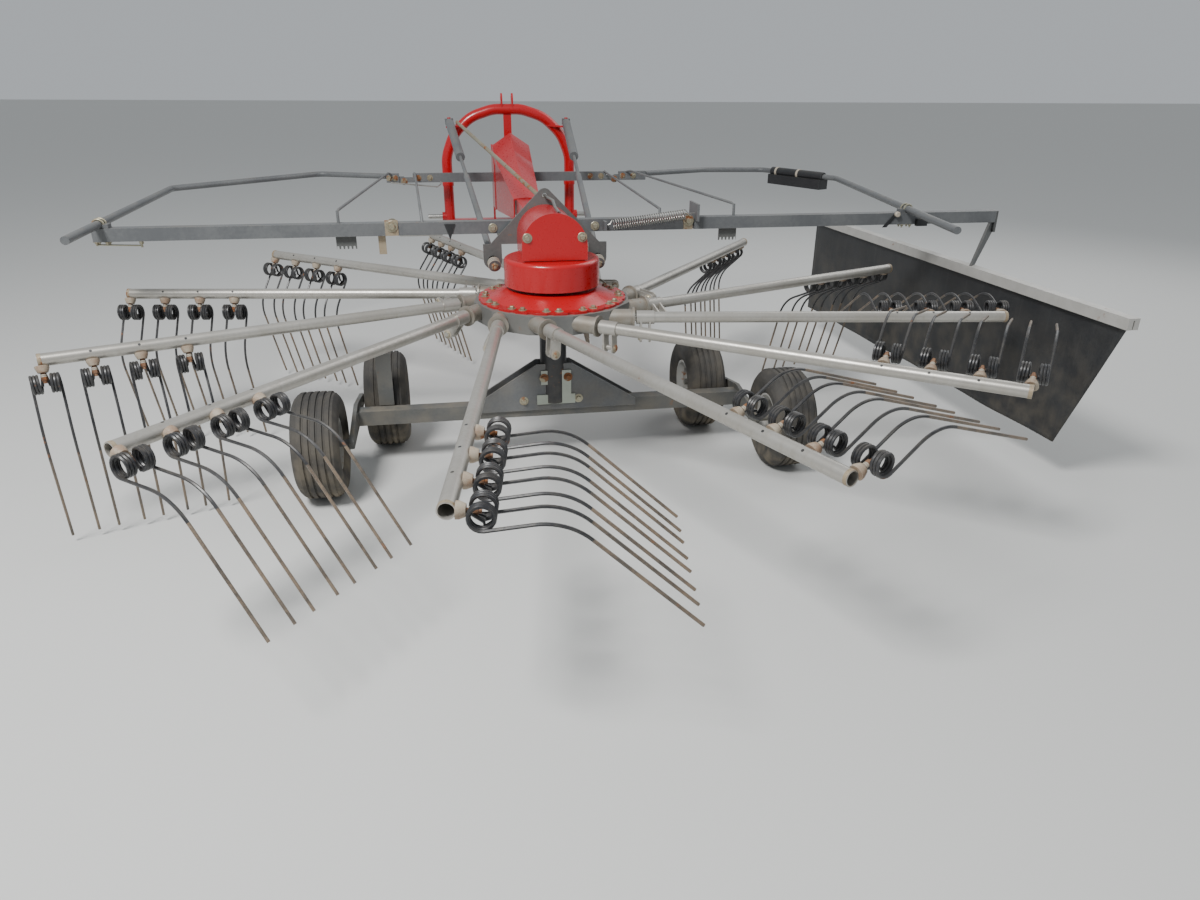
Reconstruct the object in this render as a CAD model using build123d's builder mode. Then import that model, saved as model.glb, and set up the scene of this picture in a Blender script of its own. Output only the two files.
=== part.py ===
from build123d import *
import os
from math import atan2, cos, radians, sin, tan

# Single-rotor rotary rake with a swinging three-point headstock, a tandem axle and a side curtain.
# Drawn in millimetres about the rotor's axis: +X right, +Y the way it travels, +Z up from the ground.

os.makedirs("parts", exist_ok=True)

# Clearances
RUNNING_FIT = 0.05          # radial play of a shaft in its bore
SEAT_GAP = 0.3              # between a curved seat and what lies on it
SWING_GAP = 6.0             # between pieces that turn past each other

# Tyres and wheels
TYRE_DIAMETER = 410
TYRE_WIDTH = 172
RIM_DIAMETER = 204
RIM_WIDTH = 136
WHEEL_BORE_RADIUS = 14
WHEEL_ROWS = (              # name, distance from the middle, place along the machine
    ("front", 700, 245),
    ("rear", 925, -245),
)

# Chassis
AXLE_TUBE = 60
AXLE_HEIGHT = 216
BOGIE_PLATE = 16
BOGIE_X = 812
BOGIE_DEPTH = 70
COLUMN_RADIUS = 55
GUSSET_TOP_Z = 415
GUSSET_TOP_HALF = 72
GUSSET_FOOT_HALF = 345
GUSSET_PLATE = 10

# Rotor
ARM_COUNT = 12
ARM_PHASE = -98.3           # direction of the first arm
ARM_OFFSET = 194            # from the rotor's axis to the line of an arm, which isn't radial
ARM_HEIGHT = 652
TIP_RADIUS = 1785
ARM_REACH = (TIP_RADIUS ** 2 - ARM_OFFSET ** 2) ** 0.5
ARM_TUBE_RADIUS = 21.2
ARM_TUBE_WALL = 3
ARM_SHAFT_RADIUS = 15
ARM_RAISED = (63, 87, 95, 75, 30, 10, 0, 0, 0, 0, 0, 53)    # degrees above working, round the cam
CARRIER_FLAT = 305
CARRIER_WALL = 8
CARRIER_BOTTOM = ARM_HEIGHT - 40
CARRIER_TOP = ARM_HEIGHT + 32
HUB_WALL = 18
CARRIER_RING = 272          # inner radius of the ring that the disc lies on
BEARING_RADIUS = 31.5
BEARING_START = 205         # along the arm, from the point nearest to the rotor's axis
BEARING_END = 318
COLLAR_RADIUS = 39          # flange collar on the outer end of each bearing
COLLAR_WIDTH = 9
SLEEVE_RADIUS = 26
SLEEVE_START = 326
SLEEVE_END = 395
LEVER_START = 340           # forked lever on the leading side of each arm's sleeve
LEVER_GAP = 34
LEVER_PLATE = 7
LEVER_LENGTH = 76
LEVER_END_RADIUS = 20
LEVER_PIN_RADIUS = 9
DISC_RADIUS = 294
DISC_FLANGE_Z = CARRIER_TOP
DISC_FLANGE = 9
DISC_CONE_RADIUS = 190
DISC_CONE_Z = DISC_FLANGE_Z + 44
SCALLOP_RADIUS = 17

# Sprung double tines, on the underside of each arm
TINES_PER_ARM = 4
TINE_PITCH = 143
TINE_END_INSET = 8          # from the arm's tip to the outermost tine's middle
WIRE_RADIUS = 4.6
WIRE_SIDES = 6
COIL_RADIUS = 33
COIL_BORE_RADIUS = 23
COIL_SIDES = 12
COIL_INNER = 11             # from the pair's middle to the coil's near face
COIL_WIDTH = 38
LEG_OFFSET = 41
COIL_DROP = 77
COIL_ANGLE = -66
LEG_ANGLE = -55
LEG_UPPER = 106
LEG_BEND = 49.7
LEG_BEND_RADIUS = 155
LEG_LOWER = 333
CLAMP_RADIUS = 19
CLAMP_STRAP = 26

# Gearbox and head
DRUM_RADIUS = 189
DRUM_BOTTOM = DISC_CONE_Z + 14
DRUM_TOP = DRUM_BOTTOM + 106
HOUSING_HALF = 118
HOUSING_REAR = -105
HOUSING_ARC_Z = DRUM_TOP + 54
COVER_HALF = 126
COVER_PLATE = 8
COVER_BOTTOM = DRUM_TOP + 4
HEAD_PLATE_Y = 196
HEAD_PLATE = 12
HEAD_APEX_Z = HOUSING_ARC_Z + 152
HEAD_APEX_RADIUS = 29
HEAD_BASE_HALF = 228
HEAD_BASE_Z = HOUSING_ARC_Z - 38
HEAD_LUG_RADIUS = 38
STRUT_PIN_X = 220
STRUT_PIN_Z = HEAD_BASE_Z - 64
STEM_HOLE_RADIUS = 18.5

# Main beam and drive
BEAM_WIDTH = 100
BEAM_HEIGHT = 90
BEAM_Z = HOUSING_ARC_Z - 2
BEAM_FRONT = 1560
PTO_RADIUS = 17.45          # six-spline shaft, 1 3/8 inch over the splines
PTO_LENGTH = 95

# Tower that carries the swing pivot
TOWER_HALF = 107
TOWER_FRONT = 1850
TOWER_SHOULDER_Z = 1133
NOSE_SECTIONS = (           # place along, half width, height of the eaves, of the ridge and of the foot
    (1850, 107, 1133, 1202, 790),
    (1600, 99, 1056, 1122, 800),
    (960, 65, BEAM_Z + 46, BEAM_Z + 53, BEAM_Z - 50),
)
TOWER_PLATE = 6
PIVOT_Y = 1930
PIVOT_RADIUS = 15
PIVOT_PLATE = 14
PIVOT_LOW_Z = 640
PIVOT_CHEEK = 10
CHEEK_FRONT = 1955
CHEEK_LOW_REAR = 1902
CHEEK_STEP_Z = 790

# Headstock
ARCH_Y = 2020
ARCH_RADIUS = 30
LEG_X = 367
ARCH_FOOT_Z = 640
ARCH_BENDS = (              # half width, height of each corner of the arch
    (367, 1060),
    (318, 1185),
    (215, 1280),
    (85, 1322),
)
ARCH_BEND_RADIUS = 220
LINK_PIN_Z = 716
LINK_PIN_RADIUS = 14
LINK_SHOULDER_X = 412.5
LINK_PIN_LENGTH = 85
TOP_LUG_GAP = 52
TOP_LUG_PLATE = 10
TOP_HOLE_RADIUS = 12.85     # for a category 2 top link pin
TOP_PIN_RISE = 60
CROSS_TUBE = 60

# Parking stand
STAND_X = 215
STAND_TUBE = 40
SLEEVE_WALL = 5
STAND_TOP = 800
FOOT_SIZE = 130
FOOT_PLATE = 8

# Struts between the headstock and the head
STRUT_TOP = (340, 1950, 1258)
HINGE_TILT = 2.85           # degrees that the strut's yaw axis leans outward
STUD_RADIUS = 10
STUD_LOW = 34
BARREL_RADIUS = 24
STRUT_BARREL = 590
STRUT_ROD_RADIUS = 9
STRUT_ROD_SHOWN = 277
STRUT_ROD_INSIDE = 200
STRUT_BORE = 420
STRUT_TUBE_RADIUS = 14
STEM_RADIUS = 9

# Guard frame
BAR_TUBE = 50
FRONT_BAR = 30
REAR_BAR_Y = 250
REAR_BAR_Z = 928
FRONT_BAR_Y = 1868
FRONT_BAR_Z = 958
FOLD_X = 617
FOLD_Z = 940
FOLD_PIN_RADIUS = 8
REAR_KNUCKLE_GAP = 24       # from the fold pin to the end of a fixed bar
FRONT_KNUCKLE_GAP = 50
FRONT_HINGE_TOP = 960       # low enough for the front stub to fold over its hinge plates
GUARD_TUBE_RADIUS = 15
GUARD_TUBE_Z = 968
TUBE_BEND_RADIUS = 70
YOKE_PLATE = 10
YOKE_OUTER = 195
BOX_CENTRE = (1734, 1747)
BOX_LENGTH = 420
BOX_WIDTH = 78
BOX_HEIGHT = 56
BOX_TURN = -64.7            # degrees from the machine's right, along the tube above it

# Curtain
CURTAIN_REAR = (1937, -846)
CURTAIN_LENGTH = 2461
CURTAIN_TOE = 2.4           # degrees that the rail turns in towards the front
RAIL_TOP = 740
RAIL_HEIGHT = 42
RAIL_WIDTH = 46
SHEET = 6
SHEET_BOTTOM = 175
SHEET_SLANT = 235
POST_PLATE = 10
POST_FOOT_Y = 85            # where the post meets the rail

# Height crank and guard spring
CRANK_RADIUS = 9
CRANK_END = (-300, 1780, 1262)
SPRING_RADIUS = 22
SPRING_SEAT = 3             # play of the sloping spring at each anchor
SPRING_START = (255, 199, 930)
SPRING_END = (645, 199, 975)
ANCHOR_PLATE = 10
ANCHOR_HEIGHT = 36

pieces = {}


def keep(piece, name):
    """Label a finished piece and hold it until the whole machine is placed."""
    piece.label = name
    pieces[name] = piece


def arm_plane(angle, raised, reach):
    """Plane across an arm: X trails behind the arm, Y is up at working height, Z points outward."""
    turn, roll = radians(angle), radians(raised)
    outward = Vector(cos(turn), sin(turn), 0)
    trailing = Vector(-sin(turn), cos(turn), 0)
    middle = outward * reach - trailing * ARM_OFFSET + Vector(0, 0, ARM_HEIGHT)
    return Plane(origin=middle, x_dir=trailing * cos(roll) + Vector(0, 0, sin(roll)), z_dir=outward)


def plane_along(start, end):
    """Plane at start that faces end."""
    start, end = Vector(*start), Vector(*end)
    return Plane(origin=start, z_dir=(end - start).normalized())


arm_angles = [ARM_PHASE + number * 360 / ARM_COUNT for number in range(ARM_COUNT)]

# Sprung double tine: two coils on one clamp, and a bent leg from each
coil_centre = Vector(COIL_DROP * cos(radians(COIL_ANGLE)), COIL_DROP * sin(radians(COIL_ANGLE)))
leg_way = Vector(cos(radians(LEG_ANGLE)), sin(radians(LEG_ANGLE)))
leg_side = Vector(sin(radians(LEG_ANGLE)), -cos(radians(LEG_ANGLE)))
leg_start = coil_centre + leg_side * (COIL_RADIUS - WIRE_RADIUS)
leg_knee = leg_start + leg_way * LEG_UPPER
with BuildPart() as tine_pair:
    for side in (-1, 1):
        with BuildLine(Plane.XY.offset(side * LEG_OFFSET)) as leg_path:
            upper = Line((leg_start.X, leg_start.Y), (leg_knee.X, leg_knee.Y))
            bend = JernArc(start=upper @ 1, tangent=upper % 1, radius=LEG_BEND_RADIUS, arc_size=-LEG_BEND)
            lower = Line(bend @ 1, (bend @ 1) + (bend % 1) * LEG_LOWER)
        with BuildSketch(Plane(origin=leg_path.wires()[0] @ 0, z_dir=leg_path.wires()[0] % 0)):
            RegularPolygon(radius=WIRE_RADIUS, side_count=WIRE_SIDES)
        sweep(path=leg_path.wires()[0])
        coil_face = COIL_INNER if side > 0 else -COIL_INNER - COIL_WIDTH
        with BuildSketch(Plane.XY.offset(coil_face)):
            with Locations((coil_centre.X, coil_centre.Y)):
                RegularPolygon(radius=COIL_RADIUS, side_count=COIL_SIDES)
                RegularPolygon(radius=COIL_BORE_RADIUS, side_count=COIL_SIDES // 2, mode=Mode.SUBTRACT)
        extrude(amount=COIL_WIDTH)
    with BuildSketch(Plane.XY.offset(-COIL_INNER)):
        with Locations((coil_centre.X, coil_centre.Y)):
            RegularPolygon(radius=COIL_RADIUS - 3, side_count=COIL_SIDES)
        with Locations(Location((coil_centre.X / 2, coil_centre.Y / 2, 0), (0, 0, COIL_ANGLE))):
            Rectangle(COIL_DROP, CLAMP_STRAP)
        Circle(ARM_TUBE_RADIUS + SEAT_GAP, mode=Mode.SUBTRACT)
    extrude(amount=2 * COIL_INNER)

# Tine arms: shaft in the rotor's bearing, coupling sleeve and tube, with its double tines
for number, (angle, raised) in enumerate(zip(arm_angles, ARM_RAISED), start=1):
    with BuildPart() as arm:
        for reach, radius, length in (
            (BEARING_START + 10, ARM_SHAFT_RADIUS, SLEEVE_END - BEARING_START - 10),
            (SLEEVE_START, SLEEVE_RADIUS, SLEEVE_END - SLEEVE_START),
            (SLEEVE_START + 10, ARM_TUBE_RADIUS, ARM_REACH - SLEEVE_START - 10),
        ):
            with BuildSketch(arm_plane(angle, raised, reach)):
                Circle(radius)
            extrude(amount=length)
        for start in (LEVER_START, LEVER_START + LEVER_GAP):
            with BuildSketch(arm_plane(angle, raised, start)):
                with Locations((-LEVER_LENGTH / 2, 0)):
                    Rectangle(LEVER_LENGTH, 2 * LEVER_END_RADIUS)
                with Locations((-LEVER_LENGTH, 0)):
                    Circle(LEVER_END_RADIUS)
            extrude(amount=LEVER_PLATE)
        with BuildSketch(arm_plane(angle, raised, LEVER_START - 8)):
            with Locations((-LEVER_LENGTH, 0)):
                Circle(LEVER_PIN_RADIUS)
        extrude(amount=LEVER_GAP + LEVER_PLATE + 16)
        with BuildSketch(arm_plane(angle, raised, ARM_REACH)):
            Circle(ARM_TUBE_RADIUS - ARM_TUBE_WALL)
        extrude(amount=-120, mode=Mode.SUBTRACT)
    keep(arm.part, f"arm_{number:02d}")

    with BuildPart() as tines:
        for place in range(TINES_PER_ARM):
            reach = ARM_REACH - TINE_END_INSET - place * TINE_PITCH
            with Locations(arm_plane(angle, raised, reach).location):
                add(tine_pair.part)
    keep(tines.part, f"tines_{number:02d}")

# Rotor: twelve-sided carrier with the arm bearings, and the scalloped drive disc on it
flat_turn = ARM_PHASE - 180 / ARM_COUNT
with BuildPart() as rotor_carrier:
    with BuildSketch(Plane.XY.offset(CARRIER_BOTTOM)):
        RegularPolygon(CARRIER_FLAT, ARM_COUNT, major_radius=False, rotation=flat_turn)
        Circle(COLUMN_RADIUS + RUNNING_FIT, mode=Mode.SUBTRACT)
    extrude(amount=CARRIER_TOP - CARRIER_BOTTOM)
    with BuildSketch(Plane.XY.offset(CARRIER_BOTTOM + CARRIER_WALL)):
        RegularPolygon(CARRIER_FLAT - CARRIER_WALL, ARM_COUNT, major_radius=False, rotation=flat_turn)
        Circle(COLUMN_RADIUS + HUB_WALL, mode=Mode.SUBTRACT)
    extrude(amount=CARRIER_TOP - CARRIER_BOTTOM - CARRIER_WALL, mode=Mode.SUBTRACT)
    with BuildSketch(Plane.XY.offset(CARRIER_TOP)):
        RegularPolygon(CARRIER_FLAT, ARM_COUNT, major_radius=False, rotation=flat_turn)
        Circle(CARRIER_RING, mode=Mode.SUBTRACT)
    extrude(amount=-CARRIER_WALL)
    for angle in arm_angles:
        with BuildSketch(arm_plane(angle, 0, BEARING_START)):
            Circle(BEARING_RADIUS)
        extrude(amount=BEARING_END - BEARING_START)
        with BuildSketch(arm_plane(angle, 0, BEARING_END - COLLAR_WIDTH)):
            Circle(COLLAR_RADIUS)
        extrude(amount=COLLAR_WIDTH)
    for angle in arm_angles:
        with BuildSketch(arm_plane(angle, 0, BEARING_START - 25)):
            Circle(ARM_SHAFT_RADIUS + RUNNING_FIT)
        extrude(amount=BEARING_END - BEARING_START + 35, mode=Mode.SUBTRACT)
keep(rotor_carrier.part, "rotor_carrier")

with BuildPart() as rotor_disc:
    with BuildSketch(Plane.XZ):
        Polygon(
            (COLUMN_RADIUS + SWING_GAP, DISC_CONE_Z - DISC_FLANGE),
            (DISC_CONE_RADIUS - 10, DISC_CONE_Z - DISC_FLANGE),
            (DISC_RADIUS - 42, DISC_FLANGE_Z),
            (DISC_RADIUS, DISC_FLANGE_Z),
            (DISC_RADIUS, DISC_FLANGE_Z + DISC_FLANGE),
            (DISC_RADIUS - 38, DISC_FLANGE_Z + DISC_FLANGE),
            (DISC_CONE_RADIUS - 10, DISC_CONE_Z),
            (COLUMN_RADIUS + SWING_GAP, DISC_CONE_Z),
            align=None,
        )
    revolve(axis=Axis.Z)
    with BuildSketch(Plane.XY.offset(DISC_FLANGE_Z)):
        with PolarLocations(DISC_RADIUS + SCALLOP_RADIUS - 7, 2 * ARM_COUNT, start_angle=ARM_PHASE):
            Circle(SCALLOP_RADIUS)
    extrude(amount=DISC_FLANGE, mode=Mode.SUBTRACT)
keep(rotor_disc.part, "rotor_disc")

# Gearbox: still drum over the rotor, housing behind it and its rear cover
with BuildPart() as gearbox:
    with BuildSketch(Plane.XY.offset(DRUM_BOTTOM)):
        Circle(DRUM_RADIUS)
    extrude(amount=DRUM_TOP - DRUM_BOTTOM)
    fillet(gearbox.edges().group_by(Axis.Z)[-1], 16)
    with BuildSketch(Plane.XZ.offset(-HEAD_PLATE_Y)):
        with Locations((0, (DRUM_TOP - 5 + HOUSING_ARC_Z) / 2)):
            Rectangle(2 * HOUSING_HALF, HOUSING_ARC_Z - DRUM_TOP + 5)
        with Locations((0, HOUSING_ARC_Z)):
            Circle(HOUSING_HALF)
        with Locations((0, DRUM_TOP - 5)):
            Rectangle(2 * HOUSING_HALF, HOUSING_HALF, align=(Align.CENTER, Align.MAX), mode=Mode.SUBTRACT)
    extrude(amount=HEAD_PLATE_Y - HOUSING_REAR)
keep(gearbox.part, "gearbox")

with BuildPart() as gearbox_cover:
    with BuildSketch(Plane.XZ.offset(-HOUSING_REAR)):
        with Locations((0, (COVER_BOTTOM + HOUSING_ARC_Z) / 2)):
            Rectangle(2 * COVER_HALF, HOUSING_ARC_Z - COVER_BOTTOM)
        with Locations((0, HOUSING_ARC_Z)):
            Circle(COVER_HALF)
        with Locations((0, COVER_BOTTOM)):
            Rectangle(2 * COVER_HALF, COVER_HALF, align=(Align.CENTER, Align.MAX), mode=Mode.SUBTRACT)
    extrude(amount=COVER_PLATE)
keep(gearbox_cover.part, "gearbox_cover")

# Head plate: the grey triangle in front of the gearbox, with the lugs of both struts
with BuildPart() as head_plate:
    with BuildSketch(Plane.XZ.offset(-HEAD_PLATE_Y)):
        with BuildLine():
            slope = atan2(HEAD_BASE_HALF - 46, HEAD_APEX_Z - HEAD_BASE_Z)
            tip_x = HEAD_APEX_RADIUS * cos(slope)
            tip_z = HEAD_APEX_Z + HEAD_APEX_RADIUS * sin(slope)
            Polyline((-tip_x, tip_z), (-HEAD_BASE_HALF, HEAD_BASE_Z), (HEAD_BASE_HALF, HEAD_BASE_Z),
                     (tip_x, tip_z))
            ThreePointArc((tip_x, tip_z), (0, HEAD_APEX_Z + HEAD_APEX_RADIUS), (-tip_x, tip_z))
        make_face()
        for side in (-1, 1):
            with Locations((side * STRUT_PIN_X, (HEAD_BASE_Z + STRUT_PIN_Z) / 2)):
                Rectangle(2 * HEAD_LUG_RADIUS, HEAD_BASE_Z - STRUT_PIN_Z)
            with Locations((side * STRUT_PIN_X, STRUT_PIN_Z)):
                Circle(HEAD_LUG_RADIUS)
        for side in (-1, 1):
            with Locations((side * STRUT_PIN_X, STRUT_PIN_Z)):
                Circle(STEM_HOLE_RADIUS, mode=Mode.SUBTRACT)
        with Locations((0, HEAD_APEX_Z)):
            Circle(10, mode=Mode.SUBTRACT)
    extrude(amount=-HEAD_PLATE)
keep(head_plate.part, "head_plate")

# Main beam from the head plate to the tower, and the yoke that carries the rear guard bar
beam_rear = HEAD_PLATE_Y + HEAD_PLATE
with BuildPart() as main_beam:
    with BuildSketch(Plane.XZ.offset(-beam_rear)):
        with Locations((0, BEAM_Z)):
            Rectangle(BEAM_WIDTH, BEAM_HEIGHT)
    extrude(amount=beam_rear - BEAM_FRONT)
    with BuildSketch(Plane.XZ.offset(-BEAM_FRONT)):
        with Locations((0, BEAM_Z)):
            Circle(40)
    extrude(amount=-30)
    with BuildSketch(Plane.XZ.offset(-BEAM_FRONT - 30)):
        with Locations((0, BEAM_Z)):
            Circle(26)
    extrude(amount=-25)
keep(main_beam.part, "main_beam")

with BuildPart() as bar_yoke:
    for side in (-1, 1):
        yoke_inner, yoke_outer = side * BEAM_WIDTH / 2, side * YOKE_OUTER
        with BuildSketch(Plane.XY.offset(REAR_BAR_Z - BAR_TUBE / 2)):
            Polygon((yoke_inner, beam_rear), (yoke_outer, beam_rear),
                    (yoke_outer, REAR_BAR_Y + BAR_TUBE / 2), (yoke_inner, REAR_BAR_Y + 130), align=None)
        extrude(amount=-YOKE_PLATE)
keep(bar_yoke.part, "bar_yoke")

with BuildPart() as pto_shaft:
    with BuildSketch(Plane.XZ.offset(-BEAM_FRONT - 55)):
        with Locations((0, BEAM_Z)):
            Circle(PTO_RADIUS)
    extrude(amount=-PTO_LENGTH)
keep(pto_shaft.part, "pto_shaft")

# Tower: folded nose over the beam's end, cheeks and pivot plates for the headstock
def nose(shrink):
    """Solid of the tower's nose, drawn in from its walls by shrink."""
    with BuildPart() as block:
        for along, half, eaves, ridge, foot in NOSE_SECTIONS:
            side_x, drop = half - shrink, shrink * 1.2
            with BuildSketch(Plane.XZ.offset(-along)):
                Polygon((-side_x, foot - 2 * shrink), (side_x, foot - 2 * shrink), (side_x, eaves - drop),
                        (0, ridge - drop), (-side_x, eaves - drop), align=None)
        loft(ruled=True)
    return block.part


with BuildPart() as tower:
    add(nose(0))
    add(nose(TOWER_PLATE), mode=Mode.SUBTRACT)
    with BuildSketch(Plane.XZ.offset(-TOWER_FRONT)):
        with Locations((0, BEAM_Z)):
            Rectangle(BEAM_WIDTH + 2 * SEAT_GAP, BEAM_HEIGHT + 2 * SEAT_GAP)
    extrude(amount=TOWER_FRONT - NOSE_SECTIONS[-1][0], mode=Mode.SUBTRACT)
    for side in (-1, 1):
        outer = side * TOWER_HALF
        with BuildSketch(Plane.YZ.offset(outer)):
            Polygon((TOWER_FRONT - 120, CHEEK_STEP_Z), (CHEEK_LOW_REAR, CHEEK_STEP_Z),
                    (CHEEK_LOW_REAR, PIVOT_LOW_Z - PIVOT_PLATE), (CHEEK_FRONT, PIVOT_LOW_Z - PIVOT_PLATE),
                    (CHEEK_FRONT, TOWER_SHOULDER_Z), (TOWER_FRONT - 120, TOWER_SHOULDER_Z - 98), align=None)
        extrude(amount=-side * PIVOT_CHEEK)
    for level in (PIVOT_LOW_Z - PIVOT_PLATE, TOWER_SHOULDER_Z - PIVOT_PLATE):
        with BuildSketch(Plane.XY.offset(level)):
            with Locations((0, (CHEEK_LOW_REAR + CHEEK_FRONT + 5) / 2)):
                Rectangle(2 * TOWER_HALF - PIVOT_CHEEK, CHEEK_FRONT + 5 - CHEEK_LOW_REAR)
            with Locations((0, PIVOT_Y)):
                Circle(PIVOT_RADIUS + RUNNING_FIT, mode=Mode.SUBTRACT)
        extrude(amount=PIVOT_PLATE)
keep(tower.part, "tower")

# Chassis: still column through the rotor, gusseted axle tube and the tandem bogies
axle_top = AXLE_HEIGHT + AXLE_TUBE / 2
with BuildPart() as column:
    with BuildSketch(Plane.XY.offset(axle_top)):
        Circle(COLUMN_RADIUS)
    extrude(amount=DRUM_BOTTOM - axle_top)
keep(column.part, "column")

with BuildPart() as axle_beam:
    with BuildSketch(Plane.YZ):
        with Locations((0, AXLE_HEIGHT)):
            Rectangle(AXLE_TUBE, AXLE_TUBE)
    extrude(amount=BOGIE_X - BOGIE_PLATE / 2, both=True)
keep(axle_beam.part, "axle_beam")

with BuildPart() as axle_gussets:
    for side in (-1, 1):
        face = side * AXLE_TUBE / 2
        with BuildSketch(Plane.XZ.offset(-face)):
            foot, top = GUSSET_FOOT_HALF, GUSSET_TOP_HALF
            Polygon((-top, GUSSET_TOP_Z), (-foot, axle_top), (-foot, AXLE_HEIGHT), (foot, AXLE_HEIGHT),
                    (foot, axle_top), (top, GUSSET_TOP_Z), align=None)
        extrude(amount=-side * GUSSET_PLATE)
    with BuildSketch(Plane.XY.offset(axle_top)):
        Circle(COLUMN_RADIUS)
    extrude(amount=GUSSET_TOP_Z - axle_top, mode=Mode.SUBTRACT)
keep(axle_gussets.part, "axle_gussets")

with BuildPart() as bogie_beams:
    for side in (-1, 1):
        with BuildSketch(Plane.YZ.offset(side * BOGIE_X - BOGIE_PLATE / 2)):
            with BuildLine():
                front, rear = WHEEL_ROWS[0][2], WHEEL_ROWS[1][2]
                hub = TYRE_DIAMETER / 2
                Polyline((front, hub + 25), (0, AXLE_HEIGHT + 55), (rear, hub + 25), (rear, hub - 25),
                         (0, AXLE_HEIGHT - 40), (front, hub - 25), close=True)
            make_face()
            for row, distance, along in WHEEL_ROWS:
                with Locations((along, TYRE_DIAMETER / 2)):
                    Circle(25)
        extrude(amount=BOGIE_PLATE)
        for row, distance, along in WHEEL_ROWS:
            outward = side if distance > BOGIE_X else -side
            with BuildSketch(Plane.YZ.offset(side * BOGIE_X)):
                with Locations((along, TYRE_DIAMETER / 2)):
                    Circle(WHEEL_BORE_RADIUS)
            extrude(amount=outward * (abs(distance - BOGIE_X) + RIM_WIDTH / 2 - 10))
keep(bogie_beams.part, "bogie_beams")

# Wheels: ribbed tyre on a dished rim, one pair each side
for side, side_name in ((-1, "left"), (1, "right")):
    for row, distance, along in WHEEL_ROWS:
        middle = Plane(origin=(side * distance, along, TYRE_DIAMETER / 2), x_dir=(0, 1, 0), z_dir=(1, 0, 0))
        with BuildPart() as tyre:
            with BuildSketch(Plane(middle.origin, x_dir=(0, 0, 1), z_dir=(0, -1, 0))):
                outer, inner = TYRE_DIAMETER / 2, RIM_DIAMETER / 2
                half = TYRE_WIDTH / 2
                seat = RIM_WIDTH / 2
                Polygon((inner, seat), (inner + 45, half), (outer - 32, half), (outer, half - 26),
                        (outer, 26 - half), (outer - 32, -half), (inner + 45, -half), (inner, -seat),
                        align=None)
            revolve(axis=Axis(middle.origin, (1, 0, 0)))
        keep(tyre.part, f"{row}_{side_name}_tyre")

        bogie_side = 1 if distance < BOGIE_X else -1
        with BuildPart() as rim:
            with BuildSketch(Plane(middle.origin, x_dir=(0, 0, 1), z_dir=(0, -1, 0))):
                outer = RIM_DIAMETER / 2
                half = RIM_WIDTH / 2
                bore = WHEEL_BORE_RADIUS + RUNNING_FIT
                Polygon((outer, half), (outer - 8, half), (outer - 28, half - 24), (outer - 28, 12),
                        (32, 12), (32, 40), (bore, 40), (bore, -40), (32, -40), (32, 2), (outer - 28, 2),
                        (outer - 28, -half + 24), (outer - 8, -half), (outer, -half), align=None)
            revolve(axis=Axis(middle.origin, (1, 0, 0)))
        keep(rim.part, f"{row}_{side_name}_rim")

# Yaw axis of each strut at its upper eye, tilted with the two struts' common rise
hinge_tilt = radians(HINGE_TILT)


def stud_plane(side, rise):
    """Plane square to a strut's yaw axis, at a height above the middle of its upper eye."""
    axis = Vector(side * sin(hinge_tilt), 0, cos(hinge_tilt))
    return Plane(origin=Vector(side * STRUT_TOP[0], STRUT_TOP[1], STRUT_TOP[2]) + axis * rise,
                 x_dir=(cos(hinge_tilt), 0, -side * sin(hinge_tilt)), z_dir=axis)


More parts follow.
